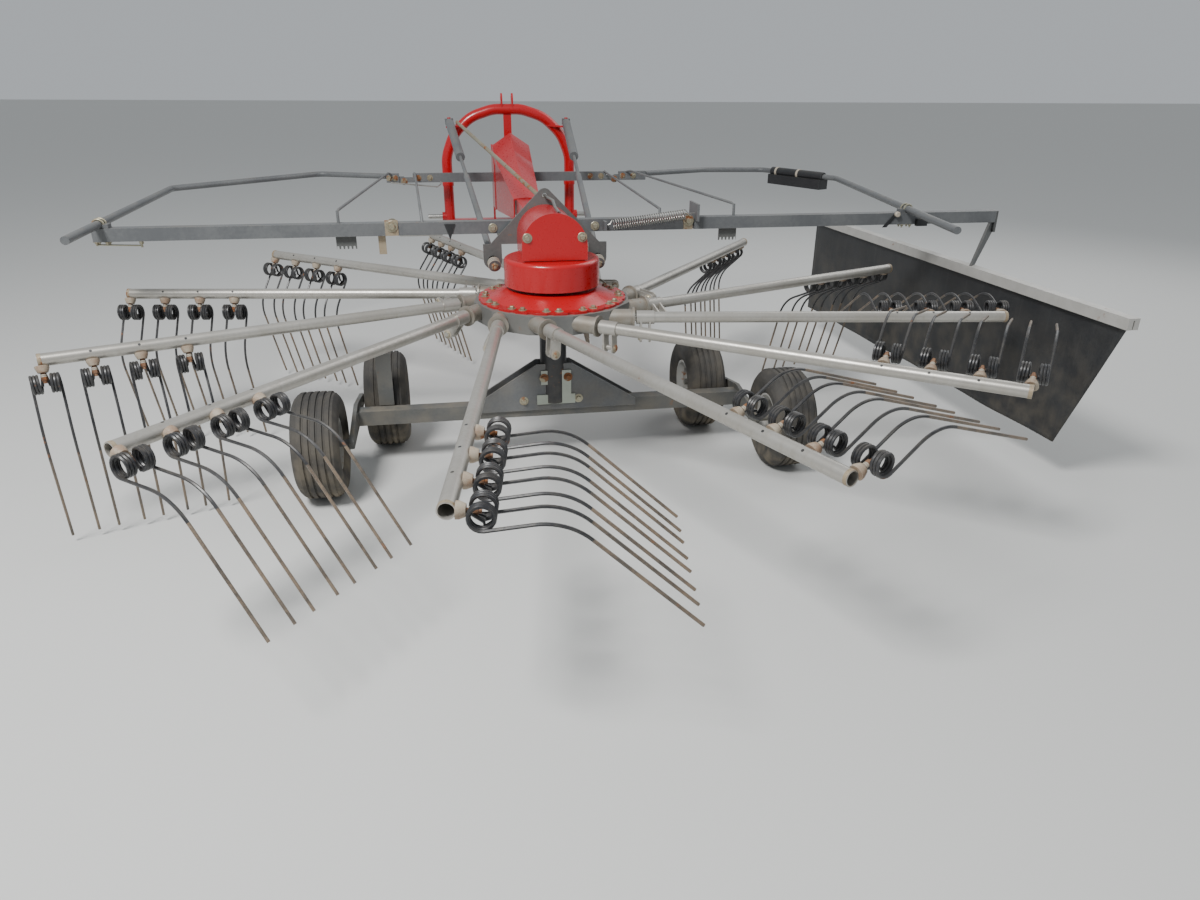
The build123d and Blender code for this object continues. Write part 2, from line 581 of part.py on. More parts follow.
# Headstock: arch with the top-link lugs, cross tube, pivot ears and link pins
arch_points = [(-LEG_X, ARCH_FOOT_Z)]
arch_points += [(-half, height) for half, height in ARCH_BENDS]
arch_points += [(half, height) for half, height in reversed(ARCH_BENDS)]
arch_points += [(LEG_X, ARCH_FOOT_Z)]
arch_top = ARCH_BENDS[-1][1]
top_pin_z = arch_top + TOP_PIN_RISE
lug_low = PIVOT_LOW_Z + 5
lug_top = TOWER_SHOULDER_Z + 5
with BuildPart() as headstock:
    with BuildLine(Plane.XZ.offset(-ARCH_Y)) as arch_path:
        FilletPolyline(*arch_points, radius=ARCH_BEND_RADIUS)
    with BuildSketch(Plane.XY.offset(ARCH_FOOT_Z)):
        with Locations((-LEG_X, ARCH_Y)):
            Circle(ARCH_RADIUS)
    sweep(path=arch_path.wires()[0])
    with BuildSketch(Plane.YZ):
        with Locations((ARCH_Y, PIVOT_LOW_Z + CROSS_TUBE / 2)):
            Rectangle(CROSS_TUBE, CROSS_TUBE)
    extrude(amount=LEG_X, both=True)
    for level in (lug_low, lug_top):
        with BuildSketch(Plane.XY.offset(level)):
            with Locations((0, PIVOT_Y)):
                Circle(32)
            with Locations((0, (PIVOT_Y + ARCH_Y) / 2)):
                Rectangle(64, ARCH_Y - PIVOT_Y)
        extrude(amount=PIVOT_PLATE)
    for level in (lug_low, lug_top):
        with BuildSketch(Plane.XY.offset(level - PIVOT_PLATE - 8)):
            with Locations((0, PIVOT_Y)):
                Circle(PIVOT_RADIUS)
        extrude(amount=PIVOT_PLATE + 12)
    with BuildSketch(Plane.XZ.offset(-ARCH_Y + 10)):
        with Locations((0, (lug_top + arch_top - ARCH_RADIUS + 12) / 2)):
            Rectangle(46, arch_top - ARCH_RADIUS + 12 - lug_top)
    extrude(amount=-14)
    for side in (-1, 1):
        with BuildSketch(Plane.YZ.offset(side * TOP_LUG_GAP / 2)):
            with Locations((ARCH_Y, arch_top + 10)):
                Rectangle(56, 2 * TOP_PIN_RISE - 20)
            with Locations((ARCH_Y, top_pin_z)):
                Circle(28)
            with Locations((ARCH_Y, arch_top - 40)):
                Rectangle(60, 60, mode=Mode.SUBTRACT)
            with Locations((ARCH_Y, top_pin_z)):
                Circle(TOP_HOLE_RADIUS, mode=Mode.SUBTRACT)
        extrude(amount=side * TOP_LUG_PLATE)
    for side in (-1, 1):
        with BuildSketch(stud_plane(side, -STUD_LOW)):
            ahead = ARCH_Y - STRUT_TOP[1]
            Polygon((side * -72, ahead + 20), (side * 22, 18), (side * 22, -18), (side * -22, -18),
                    (side * -106, ahead - 20), align=None)
        extrude(amount=10)
        with BuildSketch(stud_plane(side, -STUD_LOW)):
            Circle(STUD_RADIUS)
        extrude(amount=STUD_LOW + 22)
        with BuildSketch(Plane.YZ.offset(side * LEG_X)):
            with Locations((ARCH_Y, LINK_PIN_Z)):
                Circle(LINK_PIN_RADIUS + 12)
        extrude(amount=side * (LINK_SHOULDER_X - LEG_X))
    with BuildSketch(Plane.XY.offset(PIVOT_LOW_Z)):
        with Locations((STAND_X, ARCH_Y + CROSS_TUBE / 2 + STAND_TUBE / 2 + SLEEVE_WALL)):
            Rectangle(STAND_TUBE + 2 * SLEEVE_WALL, STAND_TUBE + 2 * SLEEVE_WALL)
            Rectangle(STAND_TUBE + 2 * SEAT_GAP, STAND_TUBE + 2 * SEAT_GAP, mode=Mode.SUBTRACT)
    extrude(amount=120)
keep(headstock.part, "headstock")

with BuildPart() as hitch_pins:
    for side in (-1, 1):
        with BuildSketch(Plane.YZ.offset(side * LINK_SHOULDER_X)):
            with Locations((ARCH_Y, LINK_PIN_Z)):
                Circle(LINK_PIN_RADIUS)
        extrude(amount=side * LINK_PIN_LENGTH)
keep(hitch_pins.part, "hitch_pins")

# Parking stand: leg in its sleeve on the cross tube, with a foot plate
stand_y = ARCH_Y + CROSS_TUBE / 2 + STAND_TUBE / 2 + SLEEVE_WALL
with BuildPart() as stand:
    with BuildSketch():
        with Locations((STAND_X, stand_y)):
            Rectangle(FOOT_SIZE, FOOT_SIZE)
    extrude(amount=FOOT_PLATE)
    with BuildSketch(Plane.XY.offset(FOOT_PLATE)):
        with Locations((STAND_X, stand_y)):
            Rectangle(STAND_TUBE, STAND_TUBE)
    extrude(amount=STAND_TOP - FOOT_PLATE)
keep(stand.part, "parking_stand")

# Struts: barrel on the headstock's stud, rod with its lower tube and a stem through the head plate
for side, side_name in ((-1, "left"), (1, "right")):
    top = (side * STRUT_TOP[0], STRUT_TOP[1], STRUT_TOP[2])
    pin = (side * STRUT_PIN_X, HEAD_PLATE_Y + HEAD_PLATE / 2, STRUT_PIN_Z)
    length = (Vector(*pin) - Vector(*top)).length
    way = plane_along(top, pin)
    with BuildPart() as barrel:
        with BuildSketch(way.offset(30)):
            Circle(BARREL_RADIUS)
        extrude(amount=STRUT_BARREL - 30)
        with BuildSketch(way.offset(STRUT_BARREL)):
            Circle(STRUT_ROD_RADIUS + RUNNING_FIT)
        extrude(amount=-STRUT_BORE, mode=Mode.SUBTRACT)
        with BuildSketch(stud_plane(side, -16)):
            Circle(24)
        extrude(amount=32)
        with BuildSketch(way.offset(12)):
            Circle(18)
        extrude(amount=25)
        with BuildSketch(stud_plane(side, -40)):
            Circle(STUD_RADIUS + RUNNING_FIT)
        extrude(amount=80, mode=Mode.SUBTRACT)
    keep(barrel.part, f"strut_barrel_{side_name}")

    tube_start = STRUT_BARREL + STRUT_ROD_SHOWN
    collar = length - HEAD_PLATE / 2 - 24
    with BuildPart() as rod:
        with BuildSketch(way.offset(STRUT_BARREL - STRUT_ROD_INSIDE)):
            Circle(STRUT_ROD_RADIUS)
        extrude(amount=STRUT_ROD_INSIDE + STRUT_ROD_SHOWN + 10)
        with BuildSketch(way.offset(tube_start)):
            Circle(STRUT_TUBE_RADIUS)
        extrude(amount=collar - tube_start - 10)
        with BuildSketch(way.offset(collar - 12)):
            Circle(24)
        extrude(amount=12)
        with BuildSketch(way.offset(collar - 5)):
            Circle(STEM_RADIUS)
        extrude(amount=105)
        with BuildSketch(way.offset(length + HEAD_PLATE / 2 + 18)):
            Circle(24)
        extrude(amount=34)
    keep(rod.part, f"strut_rod_{side_name}")

# Guard frame: fixed bars, and an outer part each side that folds up about FOLD_X
bar_half = BAR_TUBE / 2
bars = (                    # place along, thickness, height, hinge plate, its top, gap to the pin, inner end
    (REAR_BAR_Y, BAR_TUBE, REAR_BAR_Z, 8, REAR_BAR_Z + bar_half, REAR_KNUCKLE_GAP, BEAM_WIDTH / 2),
    (FRONT_BAR_Y, FRONT_BAR, FRONT_BAR_Z, 6, FRONT_HINGE_TOP, FRONT_KNUCKLE_GAP, TOWER_HALF),
)
with BuildPart() as guard_bars:
    for along, thick, height, plate, plate_top, gap, inner in bars:
        low = height - bar_half
        for side in (-1, 1):
            with BuildSketch(Plane.YZ.offset(side * inner)):
                with Locations((along, height)):
                    Rectangle(thick, BAR_TUBE)
            extrude(amount=side * (FOLD_X - gap - inner))
            for face in (along - thick / 2, along + thick / 2 - plate):
                with BuildSketch(Plane.XZ.offset(-face)):
                    with Locations((side * (FOLD_X - gap / 2), (low + plate_top) / 2)):
                        Rectangle(gap + 16, plate_top - low)
                    with Locations((side * FOLD_X, FOLD_Z)):
                        Circle(20)
                extrude(amount=-plate)
            with BuildSketch(Plane.XZ.offset(-along + thick / 2)):
                with Locations((side * FOLD_X, FOLD_Z)):
                    Circle(FOLD_PIN_RADIUS)
            extrude(amount=-thick)
    with BuildSketch(Plane.YZ.offset(SPRING_START[0])):
        with Locations(((SPRING_START[1] + REAR_BAR_Y - bar_half) / 2, SPRING_START[2])):
            Rectangle(REAR_BAR_Y - bar_half - SPRING_START[1] + 2 * SPRING_RADIUS, ANCHOR_HEIGHT)
    extrude(amount=-ANCHOR_PLATE)
keep(guard_bars.part, "guard_bars")

left_tube = ((-716, FRONT_BAR_Y), (-1102, 2039), (-1747, 1397), (-1696, -120))
right_tube = ((809, FRONT_BAR_Y), (1234, 2050), (1607, 2017), (1862, 1477), (1526, -338))
guards = (                  # side, name, ends of the rear bar and the front stub, tube over it, corners
    (-1, "left", 1735, 716, -1708, left_tube),
    (1, "right", 2070, 809, 1635, right_tube),
)
for side, side_name, bar_end, stub_end, crossing, corners in guards:
    with BuildPart() as guard:
        for (along, thick, height, plate, *_), end in zip(bars, (bar_end, stub_end)):
            with BuildSketch(Plane.YZ.offset(side * (FOLD_X + 28))):
                with Locations((along, height)):
                    Rectangle(thick, BAR_TUBE)
            extrude(amount=side * (end - FOLD_X - 28))
            knuckle = thick - 2 * plate - 1
            with BuildSketch(Plane.XZ.offset(-along + knuckle / 2)):
                with Locations((side * (FOLD_X + 22), (FOLD_Z + height) / 2)):
                    Rectangle(44, 34)
                with Locations((side * FOLD_X, FOLD_Z)):
                    Circle(18)
                    Circle(FOLD_PIN_RADIUS + RUNNING_FIT, mode=Mode.SUBTRACT)
            extrude(amount=-knuckle)
        with BuildLine(Plane.XY.offset(GUARD_TUBE_Z)) as tube_path:
            FilletPolyline(*corners, radius=TUBE_BEND_RADIUS)
        with BuildSketch(Plane(origin=tube_path.wires()[0] @ 0, z_dir=tube_path.wires()[0] % 0)):
            Circle(GUARD_TUBE_RADIUS)
        sweep(path=tube_path.wires()[0])
        with BuildSketch(Plane.XY.offset(REAR_BAR_Z + bar_half)):
            with Locations((crossing, REAR_BAR_Y)):
                Rectangle(70, BAR_TUBE - 10)
        extrude(amount=GUARD_TUBE_Z - REAR_BAR_Z - bar_half)
        if side > 0:
            with BuildSketch(Plane.YZ.offset(SPRING_END[0])):
                with Locations((REAR_BAR_Y, SPRING_END[2])):
                    Rectangle(2 * (REAR_BAR_Y - SPRING_END[1]) + 2 * SPRING_RADIUS - 20, ANCHOR_HEIGHT + 34)
            extrude(amount=ANCHOR_PLATE)
    keep(guard.part, f"guard_{side_name}")

# Stowage box under the right guard's tube
with BuildPart() as stowage_box:
    with BuildSketch(Plane(origin=(*BOX_CENTRE, GUARD_TUBE_Z - GUARD_TUBE_RADIUS - SEAT_GAP),
                           x_dir=(cos(radians(BOX_TURN)), sin(radians(BOX_TURN)), 0), z_dir=(0, 0, 1))):
        RectangleRounded(BOX_LENGTH, BOX_WIDTH, 8)
    extrude(amount=-BOX_HEIGHT)
keep(stowage_box.part, "stowage_box")

# Curtain: post and rail on the right guard, and the rubber sheet that hangs from it
toe = radians(CURTAIN_TOE)
rail_way = Vector(-sin(toe), cos(toe), 0)
rail_start = Vector(CURTAIN_REAR[0], CURTAIN_REAR[1], 0)
post_foot = Vector(CURTAIN_REAR[0] - (POST_FOOT_Y - CURTAIN_REAR[1]) * tan(toe), POST_FOOT_Y, 0)
sheet_plane = Plane(origin=rail_start, x_dir=rail_way, z_dir=rail_way.cross(Vector(0, 0, 1)))
with BuildPart() as curtain_rail:
    with BuildSketch(sheet_plane.offset(-RAIL_WIDTH / 2)):
        with Locations((CURTAIN_LENGTH / 2, RAIL_TOP - RAIL_HEIGHT / 2)):
            Rectangle(CURTAIN_LENGTH, RAIL_HEIGHT)
        with Locations((CURTAIN_LENGTH / 2, RAIL_TOP - RAIL_HEIGHT / 2 - 4)):
            Rectangle(CURTAIN_LENGTH, RAIL_HEIGHT - 8)
    extrude(amount=RAIL_WIDTH)
    with BuildSketch(sheet_plane.offset(-SHEET / 2)):
        with Locations((CURTAIN_LENGTH / 2, RAIL_TOP - RAIL_HEIGHT / 2 - 4)):
            Rectangle(CURTAIN_LENGTH, RAIL_HEIGHT - 8)
    extrude(amount=SHEET, mode=Mode.SUBTRACT)
    bar_end = Vector(guards[1][2] + POST_PLATE / 2, REAR_BAR_Y, 0)
    post_way = bar_end - post_foot
    post_run = post_way.length
    with BuildSketch(Plane(origin=post_foot, x_dir=post_way, z_dir=post_way.cross(Vector(0, 0, 1)))):
        Polygon((-30, RAIL_TOP - 4), (30, RAIL_TOP - 4), (post_run + 12, REAR_BAR_Z - bar_half - 44),
                (post_run + 12, REAR_BAR_Z - bar_half), (post_run - 60, REAR_BAR_Z - bar_half), align=None)
    extrude(amount=POST_PLATE / 2, both=True)
    with BuildSketch(Plane.YZ.offset(guards[1][2])):
        with Locations((REAR_BAR_Y, REAR_BAR_Z - 22)):
            Rectangle(BAR_TUBE, BAR_TUBE + 44)
    extrude(amount=POST_PLATE)
keep(curtain_rail.part, "curtain_rail")

with BuildPart() as curtain:
    with BuildSketch(sheet_plane.offset(-SHEET / 2)):
        Polygon((8, RAIL_TOP - 8), (CURTAIN_LENGTH - 8, RAIL_TOP - 8), (CURTAIN_LENGTH - 8, SHEET_BOTTOM),
                (SHEET_SLANT, SHEET_BOTTOM), align=None)
    extrude(amount=SHEET)
keep(curtain.part, "curtain")

# Height crank from the head plate's top, and the spring that helps to fold the right guard
crank_foot = (0, HEAD_PLATE_Y + HEAD_PLATE, HEAD_APEX_Z - 22)
with BuildPart() as height_crank:
    with BuildSketch(plane_along(crank_foot, CRANK_END).offset(6)):
        Circle(CRANK_RADIUS)
    extrude(amount=(Vector(*CRANK_END) - Vector(*crank_foot)).length - 6)
    with BuildSketch(Plane.XZ.offset(-crank_foot[1])):
        with Locations((crank_foot[0], crank_foot[2])):
            Circle(CRANK_RADIUS + 5)
    extrude(amount=-14)
keep(height_crank.part, "height_crank")

with BuildPart() as guard_spring:
    with BuildSketch(plane_along(SPRING_START, SPRING_END).offset(SPRING_SEAT)):
        Circle(SPRING_RADIUS)
    extrude(amount=(Vector(*SPRING_END) - Vector(*SPRING_START)).length - 2 * SPRING_SEAT)
keep(guard_spring.part, "guard_spring")

# The stored frame stands on the ground at the middle of the machine's box
whole = Compound(list(pieces.values())).bounding_box()
to_frame = Location((-whole.center().X, -whole.center().Y, -whole.min.Z))
for name, piece in pieces.items():
    placed = piece.moved(to_frame)
    placed.label = name
    export_step(placed, f"parts/{name}.step")
print("rotor axis in the stored frame:", [round(value, 3) for value in to_frame.position])
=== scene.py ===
"""Looks of a mounted single-rotor rotary rake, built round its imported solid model.

Sizes are metres. Places are given from the rotor's axis on the ground, +X right and +Y forward,
and RotorAxis turns them into the stored frame.
"""

import logging
import math
from dataclasses import dataclass
from enum import Enum
from functools import cache
from typing import Callable, Iterable, Sequence

import bmesh
import bpy
from mathutils import Matrix, Vector


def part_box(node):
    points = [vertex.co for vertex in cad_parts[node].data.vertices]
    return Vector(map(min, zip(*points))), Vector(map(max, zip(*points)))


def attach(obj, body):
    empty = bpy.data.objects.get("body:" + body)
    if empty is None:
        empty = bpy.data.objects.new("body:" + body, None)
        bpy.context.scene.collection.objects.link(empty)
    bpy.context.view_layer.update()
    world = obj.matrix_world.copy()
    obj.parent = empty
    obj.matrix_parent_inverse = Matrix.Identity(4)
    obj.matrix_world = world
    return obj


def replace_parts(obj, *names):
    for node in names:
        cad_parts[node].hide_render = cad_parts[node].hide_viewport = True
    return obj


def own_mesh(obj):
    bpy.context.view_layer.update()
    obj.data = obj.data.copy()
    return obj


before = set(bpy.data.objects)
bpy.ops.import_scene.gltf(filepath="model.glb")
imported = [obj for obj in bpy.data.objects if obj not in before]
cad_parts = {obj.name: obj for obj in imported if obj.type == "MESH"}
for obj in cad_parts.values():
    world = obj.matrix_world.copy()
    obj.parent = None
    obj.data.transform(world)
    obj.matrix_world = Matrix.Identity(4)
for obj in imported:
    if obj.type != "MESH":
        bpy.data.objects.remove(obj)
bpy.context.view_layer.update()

log = logging.getLogger("rotary_rake")

Colour = tuple[float, float, float]
Pair = tuple[float, float]
Triple = tuple[float, float, float]
Path = tuple[Triple, ...]
Socket = bpy.types.NodeSocket

RIGHT, AHEAD, UP = Vector((1, 0, 0)), Vector((0, 1, 0)), Vector((0, 0, 1))
BACK, DOWN = -AHEAD, -UP


class Side(Enum):
    """Side of the machine, seen in the direction that it travels."""

    LEFT = -1
    RIGHT = 1

    @property
    def word(self) -> str:
        """Name of the side as node names have it."""
        return self.name.lower()


class Slot(Enum):
    """Material slots of the record; the scene's own pieces are not given them."""

    RED = "red_paint"
    SPRING = "spring_steel"
    TYRE = "tyre_rubber"
    ZINC = "zinc_steel"
    SHEET = "black_sheet"


class Hexagon(Enum):
    """Distance over the flats and height of a hexagon head or nut."""

    M8 = (0.013, 0.007)
    M10 = (0.017, 0.008)
    M10_HIGH = (0.017, 0.009)
    M12 = (0.019, 0.009)
    M16 = (0.024, 0.011)
    NUT_M9 = (0.015, 0.012)
    NUT_M10 = (0.017, 0.012)
    NUT_M18 = (0.027, 0.014)


@dataclass(frozen=True)
class RotorAxis:
    """Place of the rotor's axis.

    Attributes:
        x: Its place across the stored frame.
        y: Its place along the stored frame.
    """

    x: float
    y: float

    @classmethod
    def from_column(cls) -> "RotorAxis":
        """Reads the axis from the middle of the column that the rotor turns on.

        Returns:
            The rotor's axis.
        """
        low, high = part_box("column")
        return cls((low.x + high.x) / 2, (low.y + high.y) / 2)

    def at(self, x: float, y: float, z: float) -> Vector:
        """Turns a place on the machine into the stored frame.

        Args:
            x: Metres to the right of the rotor's axis.
            y: Metres ahead of it.
            z: Height above the ground.

        Returns:
            The point in the stored frame.
        """
        return Vector((x + self.x, y + self.y, z))

    def beside(self, place: Triple, mirror: int = 1) -> Vector:
        """Turns a place on the right side into the stored frame, or on the left side for -1."""
        x, y, z = place
        return self.at(mirror * x, y, z)

    def line(self, points: Iterable[Triple], mirror: int = 1) -> list[Vector]:
        """Turns a row of places into the stored frame.

        Args:
            points: Places on the machine's right side.
            mirror: -1 to lay them on the left side.

        Returns:
            The points in the stored frame.
        """
        return [self.beside(point, mirror) for point in points]


def compass(degrees: float) -> Vector:
    """Gives the level unit vector in a direction against the clock from +X."""
    angle = math.radians(degrees)
    return Vector((math.cos(angle), math.sin(angle), 0))


def facing(origin: Vector, outward: Vector, along: Vector | None = None) -> Matrix:
    """Makes a placing matrix whose Z axis points outward.

    Args:
        origin: Where local zero goes.
        outward: Direction of the local Z axis.
        along: Rough direction of the local X axis, or None for any.

    Returns:
        The matrix from local to stored frame.
    """
    z_axis = outward.normalized()
    guess = along if along is not None else (UP if abs(z_axis.z) < 0.9 else RIGHT)
    x_axis = (guess - z_axis * guess.dot(z_axis)).normalized()
    y_axis = z_axis.cross(x_axis)
    matrix = Matrix((x_axis, y_axis, z_axis)).transposed().to_4x4()
    matrix.translation = origin
    return matrix


def winding(radius: float, first: float, turns: float, low: float, high: float,
            steps: int) -> list[Vector]:
    """Gives the points of a coil about the local Z axis.

    Args:
        radius: Radius of the wire's centreline.
        first: Angle of the first point, in radians.
        turns: Number of turns.
        low: Height of the first point.
        high: Height of the last point.
        steps: Points in each turn.

    Returns:
        The points in order.
    """
    count = int(turns * steps)
    points = []
    for i in range(count + 1):
        share = i / count
        angle = first + turns * 2 * math.pi * share
        height = low + (high - low) * share
        points.append(Vector((math.cos(angle) * radius, math.sin(angle) * radius, height)))
    return points


class Wiring:
    """Short calls that add and join shader nodes in one tree."""

    def __init__(self, tree: bpy.types.NodeTree) -> None:
        """Keeps the tree.

        Args:
            tree: Node tree that gets the nodes.
        """
        self.tree = tree

    def node(self, kind: str) -> bpy.types.Node:
        """Adds a node of one kind."""
        return self.tree.nodes.new(kind)

    def link(self, source: Socket, target: Socket) -> None:
        """Joins an output to an input."""
        self.tree.links.new(source, target)

    def feed(self, value: object, target: Socket) -> None:
        """Joins or sets an input.

        Args:
            value: Socket, number or colour.
            target: Input that gets it.
        """
        if isinstance(value, Socket):
            self.link(value, target)
        else:
            target.default_value = value

    def place(self) -> Socket:
        """Gives the object coordinates of the shaded point."""
        return self.node("ShaderNodeTexCoord").outputs["Object"]

    def noise(self, scale: object, detail: float, stretch: Triple | None = None) -> Socket:
        """Adds a noise texture over the object.

        Args:
            scale: Scale, as a number or a socket.
            detail: Octaves of detail.
            stretch: Scale of each axis first, or None.

        Returns:
            The noise value.
        """
        place = self.place()
        if stretch is not None:
            mapping = self.node("ShaderNodeMapping")
            mapping.inputs["Scale"].default_value = stretch
            self.link(place, mapping.inputs["Vector"])
            place = mapping.outputs["Vector"]
        texture = self.node("ShaderNodeTexNoise")
        self.link(place, texture.inputs["Vector"])
        self.feed(scale, texture.inputs["Scale"])
        texture.inputs["Detail"].default_value = detail
        return texture.outputs["Fac"]

    def maths(self, operation: str, *values: object, clamp: bool = False) -> Socket:
        """Adds a math node.

        Args:
            operation: Blender's name of the operation.
            values: Its values, as numbers or sockets.
            clamp: Keep the result between 0 and 1.

        Returns:
            The result.
        """
        node = self.node("ShaderNodeMath")
        node.operation = operation
        node.use_clamp = clamp
        for value, target in zip(values, node.inputs):
            self.feed(value, target)
        return node.outputs[0]

    def times(self, first: object, second: object) -> Socket:
        """Multiplies two values."""
        return self.maths("MULTIPLY", first, second)

    def ramp(self, value: Socket, low: float, high: float) -> Socket:
        """Maps a value smoothly so that low gives 0 and high gives 1.

        Args:
            value: Value to map.
            low: Value that gives 0.
            high: Value that gives 1.

        Returns:
            The mapped value.
        """
        node = self.node("ShaderNodeMapRange")
        node.interpolation_type = "SMOOTHSTEP"
        self.link(value, node.inputs["Value"])
        node.inputs["From Min"].default_value = low
        node.inputs["From Max"].default_value = high
        return node.outputs["Result"]

    def blend(self, share: object, first: object, second: object) -> Socket:
        """Mixes two colours.

        Args:
            share: Share of the second colour.
            first: Colour at share 0.
            second: Colour at share 1.

        Returns:
            The mixed colour.
        """
        node = self.node("ShaderNodeMix")
        node.data_type = "RGBA"
        factor, colour_a, colour_b = node.inputs[0], node.inputs[6], node.inputs[7]
        self.feed(share, factor)
        self.feed(first, colour_a)
        self.feed(second, colour_b)
        return node.outputs[2]

    def group(self, tree: bpy.types.NodeTree, **values: object) -> bpy.types.Node:
        """Places a shared effect.

        Args:
            tree: The effect's group.
            values: Values or sockets for its inputs, by name.

        Returns:
            The group node.
        """
        node = self.node("ShaderNodeGroup")
        node.node_tree = tree
        for name, value in values.items():
            self.feed(value, node.inputs[name])
        return node


class EffectGroup:
    """A shader node group while it is being wired.

    Attributes:
        tree: The group.
        wiring: Calls that add its nodes.
        given: Its inputs, by name.
        out: Its outputs, by name.
    """

    def __init__(self, name: str, inputs: dict[str, object], outputs: Sequence[str]) -> None:
        """Makes an empty group with named sockets.

        Args:
            name: Name of the group.
            inputs: Default of each input: a number, or a colour with alpha.
            outputs: Name of each output, a colour if it is called Color and else a number.
        """
        self.tree = bpy.data.node_groups.new(name, "ShaderNodeTree")
        sockets = self.tree.interface
        for label, value in inputs.items():
            kind = "NodeSocketColor" if isinstance(value, tuple) else "NodeSocketFloat"
            socket = sockets.new_socket(name=label, in_out="INPUT", socket_type=kind)
            socket.default_value = value
        for label in outputs:
            kind = "NodeSocketColor" if label == "Color" else "NodeSocketFloat"
            sockets.new_socket(name=label, in_out="OUTPUT", socket_type=kind)
        self.wiring = Wiring(self.tree)
        self.given = self.wiring.node("NodeGroupInput").outputs
        self.out = self.wiring.node("NodeGroupOutput").inputs


class Effects:
    """Effects that several finishes share, each built once as a node group."""

    RUST_DARK = (0.09, 0.035, 0.016, 1)
    RUST_LIGHT = (0.24, 0.095, 0.035, 1)

    @classmethod
    @cache
    def mottle(cls) -> bpy.types.NodeTree:
        """Colour that drifts between two shades with broad and fine patches.

        Returns:
            The group, with outputs Color and Height.
        """
        group = EffectGroup(
            "mottle",
            {"Base": (0.5, 0.5, 0.5, 1), "Faded": (0.6, 0.6, 0.6, 1), "Scale": 6.0, "Amount": 0.6},
            ("Color", "Height"))
        wiring, given = group.wiring, group.given
        broad = wiring.noise(given["Scale"], detail=4.0)
        fine = wiring.noise(wiring.times(given["Scale"], 17.0), detail=3.0)
        both = wiring.maths("MULTIPLY_ADD", fine, 0.35, wiring.times(broad, 0.75))
        share = wiring.times(wiring.ramp(both, low=0.38, high=0.72), given["Amount"])
        wiring.link(wiring.blend(share, given["Base"], given["Faded"]), group.out["Color"])
        wiring.link(fine, group.out["Height"])
        return group.tree

    @classmethod
    @cache
    def edge_wear(cls) -> bpy.types.NodeTree:
        """Mask of rubbed edges, broken up by a fine pattern.

        Returns:
            The group, with output Mask.
        """
        group = EffectGroup("edge_wear", {"Width": 0.002, "Amount": 0.5, "Scale": 90.0}, ("Mask",))
        wiring, given = group.wiring, group.given
        round_off = wiring.node("ShaderNodeBevel")
        round_off.samples = 4
        wiring.link(given["Width"], round_off.inputs["Radius"])
        flatness = wiring.node("ShaderNodeVectorMath")
        flatness.operation = "DOT_PRODUCT"
        wiring.link(round_off.outputs["Normal"], flatness.inputs[0])
        surface = wiring.node("ShaderNodeNewGeometry")
        wiring.link(surface.outputs["Normal"], flatness.inputs[1])
        turned = wiring.maths("SUBTRACT", 1.0, flatness.outputs["Value"])
        chips = wiring.ramp(wiring.noise(given["Scale"], detail=4.0), low=0.42, high=0.6)
        rubbed = wiring.times(wiring.ramp(turned, low=0.02, high=0.12), chips)
        mask = wiring.maths("MULTIPLY", rubbed, given["Amount"], clamp=True)
        wiring.link(mask, group.out["Mask"])
        return group.tree

    @classmethod
    @cache
    def rust_spots(cls) -> bpy.types.NodeTree:
        """Mask and colour of rust, in freckles inside larger patches.

        Returns:
            The group, with outputs Mask and Color.
        """
        group = EffectGroup("rust_spots", {"Scale": 40.0, "Amount": 0.3}, ("Mask", "Color"))
        wiring, given = group.wiring, group.given
        spots = wiring.noise(given["Scale"], detail=6.0)
        patches = wiring.noise(wiring.times(given["Scale"], 0.13), detail=2.0)
        joined = wiring.maths("ADD", wiring.times(spots, 0.6), wiring.times(patches, 0.5))
        floor = wiring.maths("SUBTRACT", 0.78, given["Amount"])
        level = wiring.maths("SUBTRACT", joined, floor)
        wiring.link(wiring.ramp(level, low=0.0, high=0.1), group.out["Mask"])
        tone = wiring.ramp(wiring.noise(given["Scale"], detail=8.0), low=0.35, high=0.65)
        wiring.link(wiring.blend(tone, cls.RUST_DARK, cls.RUST_LIGHT), group.out["Color"])
        return group.tree

    @classmethod
    @cache
    def settled_dust(cls) -> bpy.types.NodeTree:
        """Mask of dust and dried mud, thick near the ground and on faces that look up.

        Returns:
            The group, with output Mask.
        """
        group = EffectGroup(
            "settled_dust",
            {"Low": 0.1, "High": 0.6, "Amount": 0.5, "Upward": 0.3, "Scale": 14.0}, ("Mask",))
        wiring, given = group.wiring, group.given
        axes = wiring.node("ShaderNodeSeparateXYZ")
        wiring.link(wiring.place(), axes.inputs[0])
        splash = wiring.node("ShaderNodeMapRange")
        wiring.link(axes.outputs["Z"], splash.inputs["Value"])
        wiring.link(given["Low"], splash.inputs["From Min"])
        wiring.link(given["High"], splash.inputs["From Max"])
        splash.inputs["To Min"].default_value = 1.0
        splash.inputs["To Max"].default_value = 0.0
        surface = wiring.node("ShaderNodeNewGeometry")
        slope = wiring.node("ShaderNodeSeparateXYZ")
        wiring.link(surface.outputs["Normal"], slope.inputs[0])
        top = wiring.times(wiring.ramp(slope.outputs["Z"], low=0.3, high=1.0), given["Upward"])
        patches = wiring.ramp(wiring.noise(given["Scale"], detail=6.0), low=0.3, high=0.75)
        splashed = wiring.times(splash.outputs["Result"], given["Amount"])
        base = wiring.maths("ADD", splashed, top)
        mask = wiring.maths("MULTIPLY", base, patches, clamp=True)
        wiring.link(mask, group.out["Mask"])
        return group.tree


def solid(colour: Colour) -> tuple[float, float, float, float]:
    """Adds full alpha to a colour."""
    return (*colour, 1.0)


